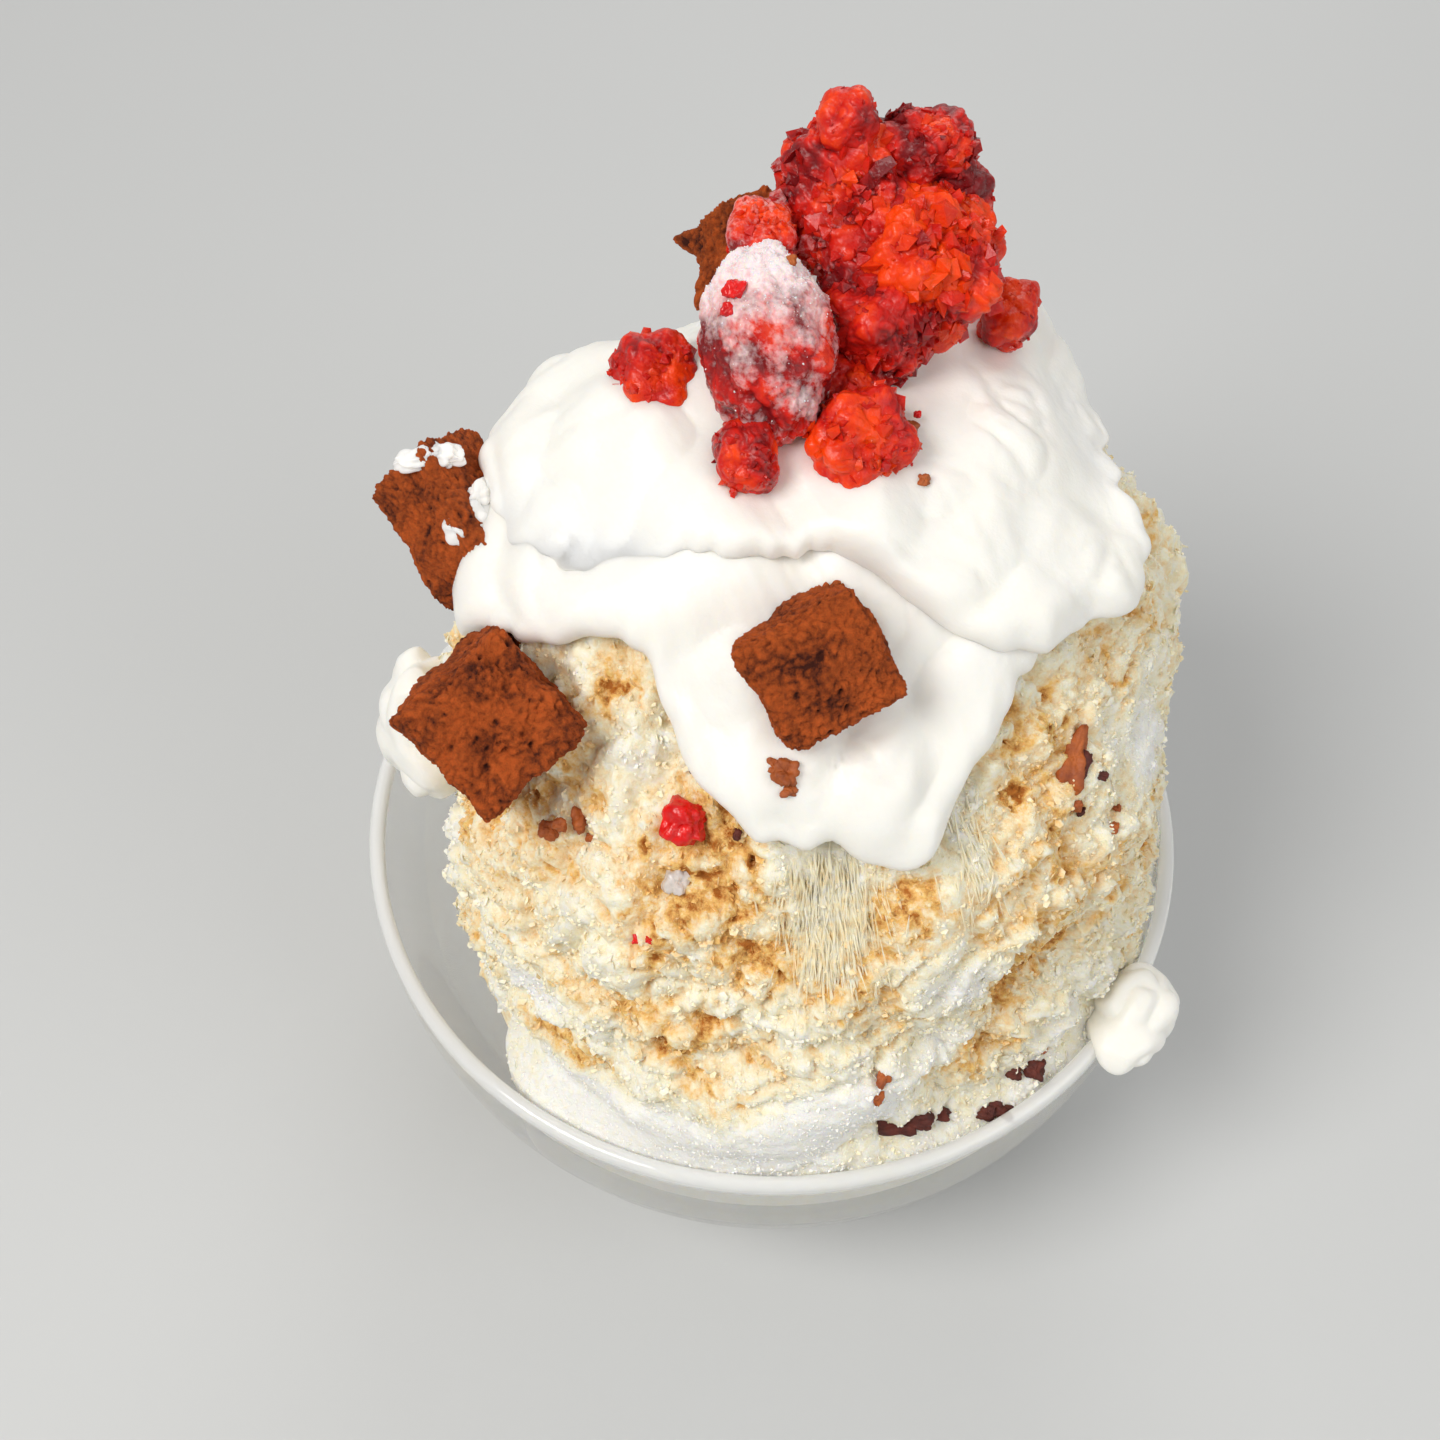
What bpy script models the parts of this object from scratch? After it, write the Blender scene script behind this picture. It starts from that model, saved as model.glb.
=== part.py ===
"""Shaved ice dessert in a round glass bowl.

A clear bowl holds a tall heap of fluffy ice. A thick cap of whipped cream lies on the heap and
runs down its front in a tongue. A frosted raspberry, broken raspberries and cubes of chocolate
cake sit on the cream and in the ice.

Metres, +Z up. The origin is the middle of the bowl's flat foot, and -Y is the side that faces
the viewer. Places on the heap are given as an azimuth (0 is +X, -90 is the viewer's side) and a
polar angle from the heap's top, both in degrees, seen from the middle of the bowl's mouth.
"""

import itertools
import math

import bmesh
import bpy
import numpy as np
from mathutils import Euler, Vector

# Bowl
RIM_RADIUS = 0.070
BOWL_HEIGHT = 0.062
GLASS = 0.0026
FOOT_RADIUS = 0.034
FOOT_HEIGHT = 0.0045
BASE_THICKNESS = 0.0070
CAVITY_RADIUS = RIM_RADIUS - GLASS
CAVITY_DEPTH = BOWL_HEIGHT - BASE_THICKNESS
CAVITY_POWER = 2.3
BOWL_SEGMENTS = 36

# Heap of ice
MOUTH = Vector((0, 0, BOWL_HEIGHT))
HEAP_HEIGHT = 0.087
HEAP_LEAN = Vector((0, 0.005, 0))
# Radius of the heap at the bowl's mouth, and how square its shoulder is, by azimuth
HEAP_RADIUS = (
    (-180, 0.0525),
    (-150, 0.0565),
    (-125, 0.0620),
    (-105, 0.0655),
    (-85, 0.0666),
    (-55, 0.0635),
    (-20, 0.0658),
    (15, 0.0665),
    (50, 0.0645),
    (90, 0.0595),
    (135, 0.0580),
)
HEAP_POWER = (
    (-180, 2.85),
    (-135, 2.60),
    (-90, 2.05),
    (-45, 2.10),
    (0, 2.15),
    (45, 2.35),
    (90, 1.80),
    (135, 1.65),
)
ICE_SEGMENTS = 48
ICE_RINGS = 21
ICE_CLEARANCE = 0.0008
ICE_SWELLS = 0.0030
ICE_LUMPS = 0.0022

# Clear space left between two pieces that touch
GAP = 0.00035
# Points nearer than this are one point after a cut
SLIVER = 0.00010

# Cream: how far each layer reaches down the heap, as (azimuth, polar angle)
TONGUE_REACH = (
    (-180, 40),
    (-165, 37),
    (-150, 31.5),
    (-135, 27),
    (-122, 25),
    (-112, 29.5),
    (-103, 33.5),
    (-94, 37.5),
    (-85, 39),
    (-74, 42),
    (-66, 40.5),
    (-57, 36),
    (-42, 31),
    (-20, 31),
    (20, 33),
    (60, 33),
    (100, 34),
    (145, 38),
)
CAP_REACH = (
    (-180, 28),
    (-150, 24),
    (-118, 17),
    (-90, 15),
    (-68, 16.5),
    (-57, 22),
    (-46, 28),
    (-32, 31.5),
    (-12, 35),
    (0, 32),
    (16, 34),
    (45, 35),
    (90, 34),
    (140, 31),
)
TONGUE_THICKNESS = 0.0060
CAP_THICKNESS = 0.0110
CREAM_SEGMENTS = 38
CREAM_RINGS = 16

# Lumps of cream: name, middle, half sizes, turn in degrees
DOLLOPS = (
    ("cream_left", (-0.0550, -0.0060, 0.0955), (0.0075, 0.0105, 0.0125), (0, 0, 12)),
    ("cream_rim", (0.0580, -0.0400, 0.0610), (0.0068, 0.0095, 0.0062), (0, 0, -35)),
)

# Cake: name, middle, sizes, turn in degrees
CAKES = (
    ("cake_front", (0.0036, -0.0302, 0.1428), (0.0172, 0.0165, 0.0165), (45, -18, 23)),
    ("cake_left", (-0.0405, -0.0295, 0.1295), (0.0185, 0.0180, 0.0205), (38, -22, 38)),
    ("cake_upper_left", (-0.0452, 0.0015, 0.1342), (0.0132, 0.0140, 0.0225), (-42, -50, 0)),
    ("cake_crown", (-0.0056, 0.0310, 0.1604), (0.0112, 0.0106, 0.0124), (30, 20, 35)),
)

# Raspberries and broken pieces of them: name, middle, half sizes, turn in degrees, and the
# number of drupelets round the whole. Each is fitted to those before it.
RASPBERRIES = (
    ("raspberry_frosted", (-0.0026, 0.0040, 0.1668), (0.0092, 0.0096, 0.0136), (-50, 0, 8), 64),
    ("raspberry_chunk_bright", (0.0186, 0.0195, 0.1668), (0.0104, 0.0112, 0.0106), (10, 30, 0), 30),
    ("raspberry_chunk_dark", (0.0120, 0.0135, 0.1627), (0.0082, 0.0092, 0.0092), (0, 0, 20), 34),
    ("raspberry_crown_face", (0.0080, 0.0262, 0.1722), (0.0096, 0.0092, 0.0118), (-38, -12, 0), 48),
    ("raspberry_crown_back", (0.0180, 0.0308, 0.1764), (0.0088, 0.0064, 0.0064), (0, 10, 10), 30),
    ("raspberry_crown_nub", (0.0079, 0.0284, 0.1834), (0.0046, 0.0045, 0.0046), (0, 0, 0), 16),
    ("raspberry_crown_right", (0.0232, 0.0310, 0.1690), (0.0058, 0.0060, 0.0066), (0, 0, 30), 20),
    ("raspberry_piece_pink", (-0.0031, 0.0190, 0.1712), (0.0052, 0.0060, 0.0062), (0, 0, 0), 18),
    ("raspberry_piece_middle", (0.0080, 0.0045, 0.1572), (0.0052, 0.0062, 0.0060), (20, 0, 0), 18),
    ("raspberry_piece_front", (0.0094, -0.0045, 0.1580), (0.0078, 0.0072, 0.0064), (40, 0, 30), 22),
    ("raspberry_piece_low", (-0.0056, -0.0088, 0.1590), (0.0047, 0.0056, 0.0050), (40, 0, 10), 14),
    ("raspberry_piece_left", (-0.0176, 0.0080, 0.1568), (0.0064, 0.0070, 0.0060), (30, 10, 30), 16),
    ("raspberry_piece_right", (0.0320, 0.0230, 0.1548), (0.0042, 0.0054, 0.0052), (20, 20, 0), 14),
)

# Chips and crumbs on the ice: azimuth, polar angle, size
CHIPS = (
    (-107, 37.5, 0.0062),
    (-125, 41.8, 0.0030),
    (-107, 44.5, 0.0042),
    (-36, 43.5, 0.0068),
    (-34, 54.5, 0.0026),
    (-97, 41.0, 0.0026),
)

# Crags of packed ice: how many are tried, their largest and smallest half size
CRAG_COUNT = 50
CRAG_LARGEST = 0.0072
CRAG_SMALLEST = 0.0036

COLOURS = {
    "glass": (0.90, 0.95, 0.94, 0.3),
    "ice": (0.93, 0.84, 0.68, 1.0),
    "cream": (0.97, 0.96, 0.92, 1.0),
    "raspberry": (0.78, 0.07, 0.03, 1.0),
    "frosted_raspberry": (0.80, 0.38, 0.38, 1.0),
    "cake": (0.28, 0.08, 0.02, 1.0),
}

# Bulges and dents as (azimuth, polar angle, spread along azimuth, spread along polar, height)
HEAP_FEATURES = (
    (-125, 73, 20, 5, -0.0035),
    (-85, 68, 18, 5, -0.0030),
    (-36, 58, 12, 8, 0.0020),
    (10, 46, 24, 13, 0.0072),
    (175, 60, 20, 10, 0.0015),
)
CAP_FEATURES = (
    (45, 30, 7, 5, 0.0050),
    (150, 24, 6, 5, 0.0030),
    (175, 30, 6, 6, 0.0030),
    (-60, 16, 12, 5, 0.0025),
    (-25, 28, 10, 6, 0.0020),
    (-100, 9, 8, 5, -0.0020),
    (98, 18, 9, 8, 0.0055),
    (15, 30, 30, 12, -0.0035),
    (-150, 25, 24, 9, -0.0044),
    (-128, 19, 7, 5, -0.0022),
)


def field(points, size, seed):
    """Smooth random heights of about -1 to 1 at the points, with bumps about `size` across.

    Gradient noise: each corner of a cubic grid has a random direction, and a point blends the
    slopes of the eight corners round it.
    """
    directions = np.random.default_rng(11).normal(size=(256, 3))
    directions /= np.linalg.norm(directions, axis=1, keepdims=True)
    scaled = np.asarray(points, dtype=float) / size
    cell = np.floor(scaled).astype(np.int64)
    inside = scaled - cell
    fade = inside**3 * (inside * (inside * 6 - 15) + 10)
    total = np.zeros(scaled.shape[:-1])
    for corner in itertools.product((0, 1), repeat=3):
        x, y, z = np.moveaxis(cell + np.array(corner), -1, 0)
        mixed = (x * 73856093) ^ (y * 19349663) ^ (z * 83492791) ^ (seed * 2654435761)
        chosen = directions[((mixed ^ (mixed >> 15)) * 1274126177 >> 12) % 256]
        slope = (chosen * (inside - corner)).sum(-1)
        share = np.where(np.array(corner) == 1, fade, 1 - fade).prod(-1)
        total += slope * share
    return 1.6 * total


def round_curve(table, azimuth):
    """Values of a closed table of (azimuth, value), joined by a smooth cubic curve."""
    knots = np.array([row[0] for row in table], dtype=float)
    values = np.array([row[1] for row in table], dtype=float)
    knots = np.concatenate([knots[-2:] - 360, knots, knots[:3] + 360])
    values = np.concatenate([values[-2:], values, values[:3]])
    slopes = np.gradient(values, knots)
    azimuth = (np.asarray(azimuth, dtype=float) - knots[2]) % 360 + knots[2]
    left = np.clip(np.searchsorted(knots, azimuth, side="right") - 1, 0, len(knots) - 2)
    width = knots[left + 1] - knots[left]
    t = (azimuth - knots[left]) / width
    near = (1 + 2 * t) * (1 - t) ** 2 * values[left] + t * (1 - t) ** 2 * width * slopes[left]
    far = t**2 * (3 - 2 * t) * values[left + 1] + t**2 * (t - 1) * width * slopes[left + 1]
    return near + far


def features(table, azimuth, polar):
    """Sum of the table's rounded bulges and dents at each azimuth and polar angle."""
    total = np.zeros(np.shape(azimuth))
    for centre, height_angle, wide, tall, height in table:
        across = ((azimuth - centre + 180) % 360 - 180) * np.sin(np.radians(polar)) / wide
        along = (polar - height_angle) / tall
        total += height * np.exp(-(across**2) - along**2)
    return total


def directions(azimuth, polar):
    """Unit directions for azimuths and polar angles in degrees."""
    a, p = np.radians(azimuth), np.radians(polar)
    return np.stack([np.sin(p) * np.cos(a), np.sin(p) * np.sin(a), np.cos(p)], -1)


def heap_distance(azimuth, polar):
    """Distance from the bowl's mouth to the ice, a superellipse in each upright section."""
    p = np.radians(polar)
    wide = round_curve(HEAP_RADIUS, azimuth)
    above = polar < 90
    tall = np.where(above, HEAP_HEIGHT, CAVITY_DEPTH - ICE_CLEARANCE)
    power = np.where(above, round_curve(HEAP_POWER, azimuth), CAVITY_POWER)
    smooth = ((np.abs(np.cos(p)) / tall) ** power + (np.sin(p) / wide) ** power) ** (-1 / power)
    points = directions(azimuth, polar) * smooth[..., None]
    relief = ICE_SWELLS * field(points, 0.030, 1) + ICE_LUMPS * field(points, 0.013, 2)
    relief += features(HEAP_FEATURES, azimuth, polar)
    free = np.clip((96 - polar) / 16, 0, 1)
    return smooth + np.where(relief > 0, relief * free, relief * np.clip((150 - polar) / 40, 0, 1))


def heap_points(azimuth, polar, outwards=0.0):
    """Points on the ice, or that far outwards from it, with the heap leaning as it rises."""
    points = directions(azimuth, polar) * (heap_distance(azimuth, polar) + outwards)[..., None]
    rise = np.clip(points[..., 2] / HEAP_HEIGHT, 0, 1.3) ** 1.5
    return points + rise[..., None] * np.array(HEAP_LEAN) + np.array(MOUTH)


def mesh_of_triangles(name, bm):
    """Turns a bmesh into a mesh of triangles, so that every cut sees the same flat faces."""
    bmesh.ops.triangulate(bm, faces=bm.faces)
    mesh = bpy.data.meshes.new(name)
    bm.to_mesh(mesh)
    bm.free()
    return mesh


def sphere_mesh(name, segments, rings):
    """A mesh from the unit UV sphere, and its vertices as an array."""
    bm = bmesh.new()
    bmesh.ops.create_uvsphere(bm, u_segments=segments, v_segments=rings, radius=1)
    mesh = mesh_of_triangles(name, bm)
    return mesh, read_points(mesh)


def read_points(mesh):
    points = np.empty(len(mesh.vertices) * 3)
    mesh.vertices.foreach_get("co", points)
    return points.reshape(-1, 3)


def write_points(mesh, points):
    mesh.vertices.foreach_set("co", np.asarray(points, dtype=np.float32).ravel())
    mesh.update()


def angles_of(points):
    """Azimuth and polar angle of directions, in degrees."""
    azimuth = np.degrees(np.arctan2(points[:, 1], points[:, 0]))
    return azimuth, np.degrees(np.arccos(np.clip(points[:, 2], -1, 1)))


def material(name):
    made = bpy.data.materials.get(name)
    if made is None:
        made = bpy.data.materials.new(name)
        made.use_nodes = True
        shader = made.node_tree.nodes["Principled BSDF"]
        shader.inputs["Base Color"].default_value = COLOURS[name]
        shader.inputs["Roughness"].default_value = 0.05 if name == "glass" else 0.5
        shader.inputs["Metallic"].default_value = 0
    return made


def add_object(name, mesh, collection, finish, smooth=True):
    piece = bpy.data.objects.new(name, mesh)
    collection.objects.link(piece)
    mesh.materials.clear()
    mesh.materials.append(material(finish))
    if smooth:
        mesh.shade_smooth()
    return piece


def evaluated_mesh(piece):
    """A new mesh of the piece as its modifiers leave it."""
    bpy.context.view_layer.update()
    graph = bpy.context.evaluated_depsgraph_get()
    return bpy.data.meshes.new_from_object(piece.evaluated_get(graph), depsgraph=graph)


def apply_boolean(piece, operation, tools):
    """Joins the tools to the piece or cuts them from it, and removes them."""
    group = bpy.data.collections.new("tools")
    bpy.context.scene.collection.children.link(group)
    for tool in tools:
        for owner in list(tool.users_collection):
            owner.objects.unlink(tool)
        group.objects.link(tool)
    modifier = piece.modifiers.new(operation.lower(), "BOOLEAN")
    modifier.operation = operation
    modifier.operand_type = "COLLECTION"
    modifier.collection = group
    # The cutters of one piece touch each other, where the exact solver can lose the whole piece
    modifier.solver = "MANIFOLD"
    mesh = evaluated_mesh(piece)
    piece.modifiers.clear()
    old = piece.data
    piece.data = mesh
    mesh.name = old.name
    for tool in tools:
        bpy.data.objects.remove(tool)
    bpy.data.collections.remove(group)


def grown_copy(piece, gap=GAP):
    """A copy of a piece for cutting its neighbours, with each vertex moved out by the gap."""
    mesh = evaluated_mesh(piece)
    mesh.transform(piece.matrix_world)
    normals = np.array([vertex.normal for vertex in mesh.vertices])
    write_points(mesh, read_points(mesh) + gap * normals)
    copy = bpy.data.objects.new(piece.name + "_cutter", mesh)
    bpy.context.scene.collection.objects.link(copy)
    return copy


def keep_largest_body(mesh):
    """Drops the loose scraps that a cut left behind. A body is the faces joined edge to edge."""
    bm = bmesh.new()
    bm.from_mesh(mesh)
    bmesh.ops.remove_doubles(bm, verts=bm.verts, dist=SLIVER)
    bmesh.ops.dissolve_degenerate(bm, dist=SLIVER / 10, edges=bm.edges)
    bmesh.ops.triangulate(bm, faces=bm.faces)
    left = set(bm.faces)
    bodies = []
    while left:
        body = []
        waiting = [left.pop()]
        while waiting:
            face = waiting.pop()
            body.append(face)
            for edge in face.edges:
                for other in edge.link_faces if edge.is_manifold else ():
                    if other in left:
                        left.remove(other)
                        waiting.append(other)
        bodies.append(body)
    bodies.sort(key=len)
    for body in bodies[:-1]:
        bmesh.ops.delete(bm, geom=body, context="FACES")
    bm.to_mesh(mesh)
    bm.free()


def cut(piece, neighbours):
    """Makes room in a piece for its neighbours."""
    apply_boolean(piece, "DIFFERENCE", [grown_copy(other) for other in neighbours])
    keep_largest_body(piece.data)


def superellipse(wide, tall, power, steps):
    """Quarter of a superellipse as (radius, depth), from the rim to the middle of the floor."""
    turns = [math.pi / 2 * i / steps for i in range(steps + 1)]
    return [
        (wide * math.cos(t) ** (2 / power), tall * math.sin(t) ** (2 / power)) for t in turns
    ]


def build_bowl(collection):
    """A turned profile: rounded rim, round belly, short foot with a flat underside."""
    half = GLASS / 2
    outside = []
    for i in range(7):
        turn = math.pi / 2 * i / 7
        radius = FOOT_RADIUS + (RIM_RADIUS - FOOT_RADIUS) * math.cos(turn)
        height = BOWL_HEIGHT - half - (BOWL_HEIGHT - half - FOOT_HEIGHT) * math.sin(turn)
        outside.append((radius, height))
    foot = [(FOOT_RADIUS, FOOT_HEIGHT), (FOOT_RADIUS - 0.0008, 0.0006), (FOOT_RADIUS - 0.0016, 0)]
    rim = []
    for i in range(1, 4):
        turn = math.pi * i / 4
        radius = RIM_RADIUS - half + half * math.cos(turn)
        height = BOWL_HEIGHT - half + half * math.sin(turn)
        rim.append((radius, height))
    inside = superellipse(CAVITY_RADIUS, CAVITY_DEPTH - half, CAVITY_POWER, 9)
    cavity = [(radius, BOWL_HEIGHT - half - depth) for radius, depth in inside]
    profile = [(0, BASE_THICKNESS)] + cavity[-2::-1] + rim[::-1] + outside + foot + [(0, 0)]
    mesh = bpy.data.meshes.new("bowl")
    points = [(radius, 0, height) for radius, height in profile]
    mesh.from_pydata(points, [(i, i + 1) for i in range(len(points) - 1)], [])
    bowl = add_object("bowl", mesh, collection, "glass", smooth=False)
    screw = bowl.modifiers.new("turn", "SCREW")
    screw.steps = screw.render_steps = BOWL_SEGMENTS
    screw.use_merge_vertices = True
    screw.merge_threshold = 0.00001
    screw.use_smooth_shade = True
    screw.use_normal_calculate = True
    return bowl


def build_ice(collection):
    """The heap's core: a sphere whose vertices are moved out to the heap's own distance."""
    mesh, sphere = sphere_mesh("ice", ICE_SEGMENTS, ICE_RINGS)
    azimuth, polar = angles_of(sphere)
    write_points(mesh, heap_points(azimuth, polar))
    return add_object("ice", mesh, collection, "ice")


def build_cream_layer(name, collection, reach, thickness, table, relief):
    """A cushion on the heap, thick in the middle and rounded off at its edge."""
    mesh, sphere = sphere_mesh(name, CREAM_SEGMENTS, CREAM_RINGS)
    azimuth, polar = angles_of(sphere)
    share = np.minimum(polar, 180 - polar) / 90
    down = share * round_curve(reach, azimuth)
    deep = thickness + features(table, azimuth, down)
    points = directions(azimuth, down) * 0.1
    deep = deep + relief * (field(points, 0.030, 5) + 0.5 * field(points, 0.013, 6))
    bulge = np.sqrt(np.clip(1 - share**8, 0, 1))
    outwards = np.where(polar < 90.5, deep, -0.003) * bulge
    write_points(mesh, heap_points(azimuth, down, outwards))
    return add_object(name, mesh, collection, "cream")


def build_cream(collection):
    """The tongue that runs down the front, and the thick cap that overhangs it."""
    cream = build_cream_layer("cream", collection, TONGUE_REACH, TONGUE_THICKNESS, (), 0.0008)
    cap = build_cream_layer("cap", collection, CAP_REACH, CAP_THICKNESS, CAP_FEATURES, 0.0012)
    apply_boolean(cream, "UNION", [cap])
    return cream


def place(piece, middle, turn):
    piece.location = middle
    piece.rotation_euler = Euler([math.radians(angle) for angle in turn])


def build_dollop(collection, name, middle, half, turn):
    """A soft lump: an egg with low rounded bumps."""
    mesh, sphere = sphere_mesh(name, 14, 9)
    bumps = 1 + 0.16 * field(sphere + np.array(middle) * 40, 0.9, 7)
    write_points(mesh, sphere * bumps[:, None] * np.array(half))
    piece = add_object(name, mesh, collection, "cream")
    place(piece, middle, turn)
    return piece


def build_cake(collection, name, middle, size, turn):
    """A torn cube of cake: a cube with blunt corners and a crumbly surface."""
    bm = bmesh.new()
    bmesh.ops.create_cube(bm, size=2)
    bmesh.ops.subdivide_edges(bm, edges=bm.edges, cuts=3, use_grid_fill=True)
    mesh = mesh_of_triangles(name, bm)
    cube = read_points(mesh)
    blunt = (np.abs(cube) ** 9).sum(1) ** (-1 / 9)
    half = np.array(size) / 2
    points = cube * blunt[:, None] * half
    crumbs = 0.0012 * field(points + np.array(middle), 0.008, 8)
    crumbs += 0.0008 * field(points + np.array(middle), 0.0045, 9)
    write_points(mesh, points * (1 + crumbs / half.mean())[:, None])
    piece = add_object(name, mesh, collection, "cake", smooth=False)
    place(piece, middle, turn)
    return piece


def spiral_directions(count):
    """Evenly spread unit directions, on a spiral that turns by the golden angle."""
    step = np.arange(count)
    height = 1 - (2 * step + 1) / count
    turn = step * math.pi * (3 - math.sqrt(5))
    flat = np.sqrt(1 - height**2)
    return np.stack([flat * np.cos(turn), flat * np.sin(turn), height], -1)


def drupelets(sphere, count, seed):
    """How far out each direction reaches on a unit ball covered with `count` smaller balls.

    A ball of radius r at c is met by direction d at d.c + sqrt(r^2 - |c|^2 + (d.c)^2).
    """
    rng = np.random.default_rng(seed)
    radius = 1.95 / math.sqrt(count)
    balls = spiral_directions(count) * (1 - radius) * rng.uniform(0.88, 1.04, (count, 1))
    along = sphere @ balls.T
    inside = radius**2 - (balls**2).sum(1) + along**2
    reach = np.where(inside > 0, along + np.sqrt(np.maximum(inside, 0)), 0)
    return np.maximum(reach.max(1), 1 - 0.8 * radius)


def build_raspberry(collection, name, middle, half, turn, count):
    """A raspberry or a broken piece of one, with the bumps of its drupelets."""
    detail = 20 if count > 60 else 15 if count >= 30 else 11
    mesh, sphere = sphere_mesh(name, detail, detail * 2 // 3)
    reach = drupelets(sphere, count, count)
    write_points(mesh, sphere * reach[:, None] * np.array(half))
    finish = "frosted_raspberry" if "frosted" in name else "raspberry"
    piece = add_object(name, mesh, collection, finish)
    place(piece, middle, turn)
    return piece


def build_crag(azimuth, polar, size, flat, rng):
    """A broken lump of ice, part sunk in the heap."""
    bm = bmesh.new()
    bmesh.ops.create_icosphere(bm, subdivisions=1, radius=1)
    mesh = mesh_of_triangles("crag", bm)
    points = read_points(mesh) * (size * np.array([1.25, 0.95, flat]))
    write_points(mesh, points * rng.uniform(0.8, 1.15, (len(points), 1)))
    crag = bpy.data.objects.new("crag", mesh)
    bpy.context.scene.collection.objects.link(crag)
    outwards = Vector(directions(azimuth, polar)).to_track_quat("Z", "Y")
    spin = Euler((rng.uniform(-0.4, 0.4), rng.uniform(-0.4, 0.4), rng.uniform(0, math.tau)))
    crag.rotation_euler = (outwards @ spin.to_quaternion()).to_euler()
    crag.location = heap_points(azimuth, polar, 0.0)
    return crag


def clear_of(point, reach, others):
    """Whether a ball of that reach round the point stays off the other pieces."""
    for other in others:
        local = other.matrix_world.inverted() @ Vector(point)
        found, nearest, _, _ = other.closest_point_on_mesh(local)
        if found and (nearest - local).length < reach:
            return False
    return True


def roughen_ice(ice, others):
    """Fuses chips and crags to the heap, the largest first and spread evenly."""
    bpy.context.view_layer.update()
    rng = np.random.default_rng(21)
    places = [(azimuth, polar, size / 2, 0.8) for azimuth, polar, size in CHIPS]
    for i, direction in enumerate(spiral_directions(CRAG_COUNT * 2)[:CRAG_COUNT]):
        azimuth, polar = angles_of(direction[None])
        size = CRAG_LARGEST + (CRAG_SMALLEST - CRAG_LARGEST) * ((i * 5) % CRAG_COUNT) / CRAG_COUNT
        places.append((azimuth[0], polar[0], size, 0.6))
    crags = []
    for azimuth, polar, size, flat in places:
        crag = build_crag(azimuth, polar, size, flat, rng)
        if clear_of(crag.location, 1.5 * size + GAP, others):
            crags.append(crag)
        else:
            bpy.data.objects.remove(crag)
    apply_boolean(ice, "UNION", crags)
    keep_largest_body(ice.data)


def main():
    for old in list(bpy.data.objects):
        bpy.data.objects.remove(old)
    dessert = bpy.data.collections.new("shaved_ice_dessert")
    bpy.context.scene.collection.children.link(dessert)
    bowl = build_bowl(dessert)
    ice = build_ice(dessert)
    cream = build_cream(dessert)
    cakes = [build_cake(dessert, *cake) for cake in CAKES]
    berries = []
    for raspberry in RASPBERRIES:
        berry = build_raspberry(dessert, *raspberry)
        if berries:
            cut(berry, berries)
        berries.append(berry)
    cut(cakes[-1], berries)
    cut(cream, [ice] + cakes + berries)
    cut(ice, cakes)
    dollops = []
    for dollop in DOLLOPS:
        lump = build_dollop(dessert, *dollop)
        cut(lump, [bowl, ice, cream] + cakes)
        dollops.append(lump)
    roughen_ice(ice, [bowl, cream] + cakes + berries + dollops)


main()
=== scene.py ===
"""Looks of a shaved ice dessert: a glass bowl, a tall heap of fluffy ice with amber syrup in its
pores, whipped cream, frosted and broken raspberries, and torn cubes of chocolate cake.

Metres, +Z up. The origin is the middle of the bowl's foot, and -Y is the viewer's side. Places on
the heap are an azimuth (0 is +X, -90 is the viewer's side) and a polar angle from the heap's top,
in degrees, seen from the middle of the bowl's mouth.
"""

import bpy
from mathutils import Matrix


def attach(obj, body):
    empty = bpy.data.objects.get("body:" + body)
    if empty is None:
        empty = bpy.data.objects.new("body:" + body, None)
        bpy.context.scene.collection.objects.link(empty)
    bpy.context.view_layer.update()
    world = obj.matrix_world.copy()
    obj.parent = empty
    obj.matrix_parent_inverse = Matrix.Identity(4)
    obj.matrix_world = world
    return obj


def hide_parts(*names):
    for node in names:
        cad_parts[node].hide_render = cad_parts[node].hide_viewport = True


bl_info = {
    "name": "Shaved ice dessert",
    "version": (1, 0, 0),
    "blender": (4, 5, 0),
    "location": "3D View > Sidebar > Dessert",
    "description": "Glass bowl of shaved ice with whipped cream, raspberries and chocolate cake",
    "category": "Object",
}

import itertools
import math

import bmesh
import bpy
import numpy as np
from bpy.props import FloatProperty, FloatVectorProperty, IntProperty, PointerProperty
from bpy.types import Operator, Panel, PropertyGroup
from mathutils import Euler

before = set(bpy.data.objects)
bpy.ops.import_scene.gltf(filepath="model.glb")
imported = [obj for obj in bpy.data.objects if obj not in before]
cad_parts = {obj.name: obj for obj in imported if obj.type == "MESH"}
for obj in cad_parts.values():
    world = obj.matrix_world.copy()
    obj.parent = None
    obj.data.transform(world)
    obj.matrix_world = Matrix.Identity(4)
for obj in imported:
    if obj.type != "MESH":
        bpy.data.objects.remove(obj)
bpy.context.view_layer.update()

# Bowl
RIM_RADIUS = 0.070
BOWL_HEIGHT = 0.062
GLASS = 0.0026
# Height of the rim's band, where a painted highlight makes the glass solid and less clear, so it shows
# white
RIM_HIGHLIGHT_BAND = 0.0030
FOOT_RADIUS = 0.034
FOOT_CORNER = 0.0014
FOOT_HEIGHT = 0.0045
BASE_THICKNESS = 0.0070
CAVITY_RADIUS = RIM_RADIUS - GLASS
CAVITY_DEPTH = BOWL_HEIGHT - BASE_THICKNESS
CAVITY_POWER = 2.3
BOWL_SEGMENTS = 160

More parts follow.
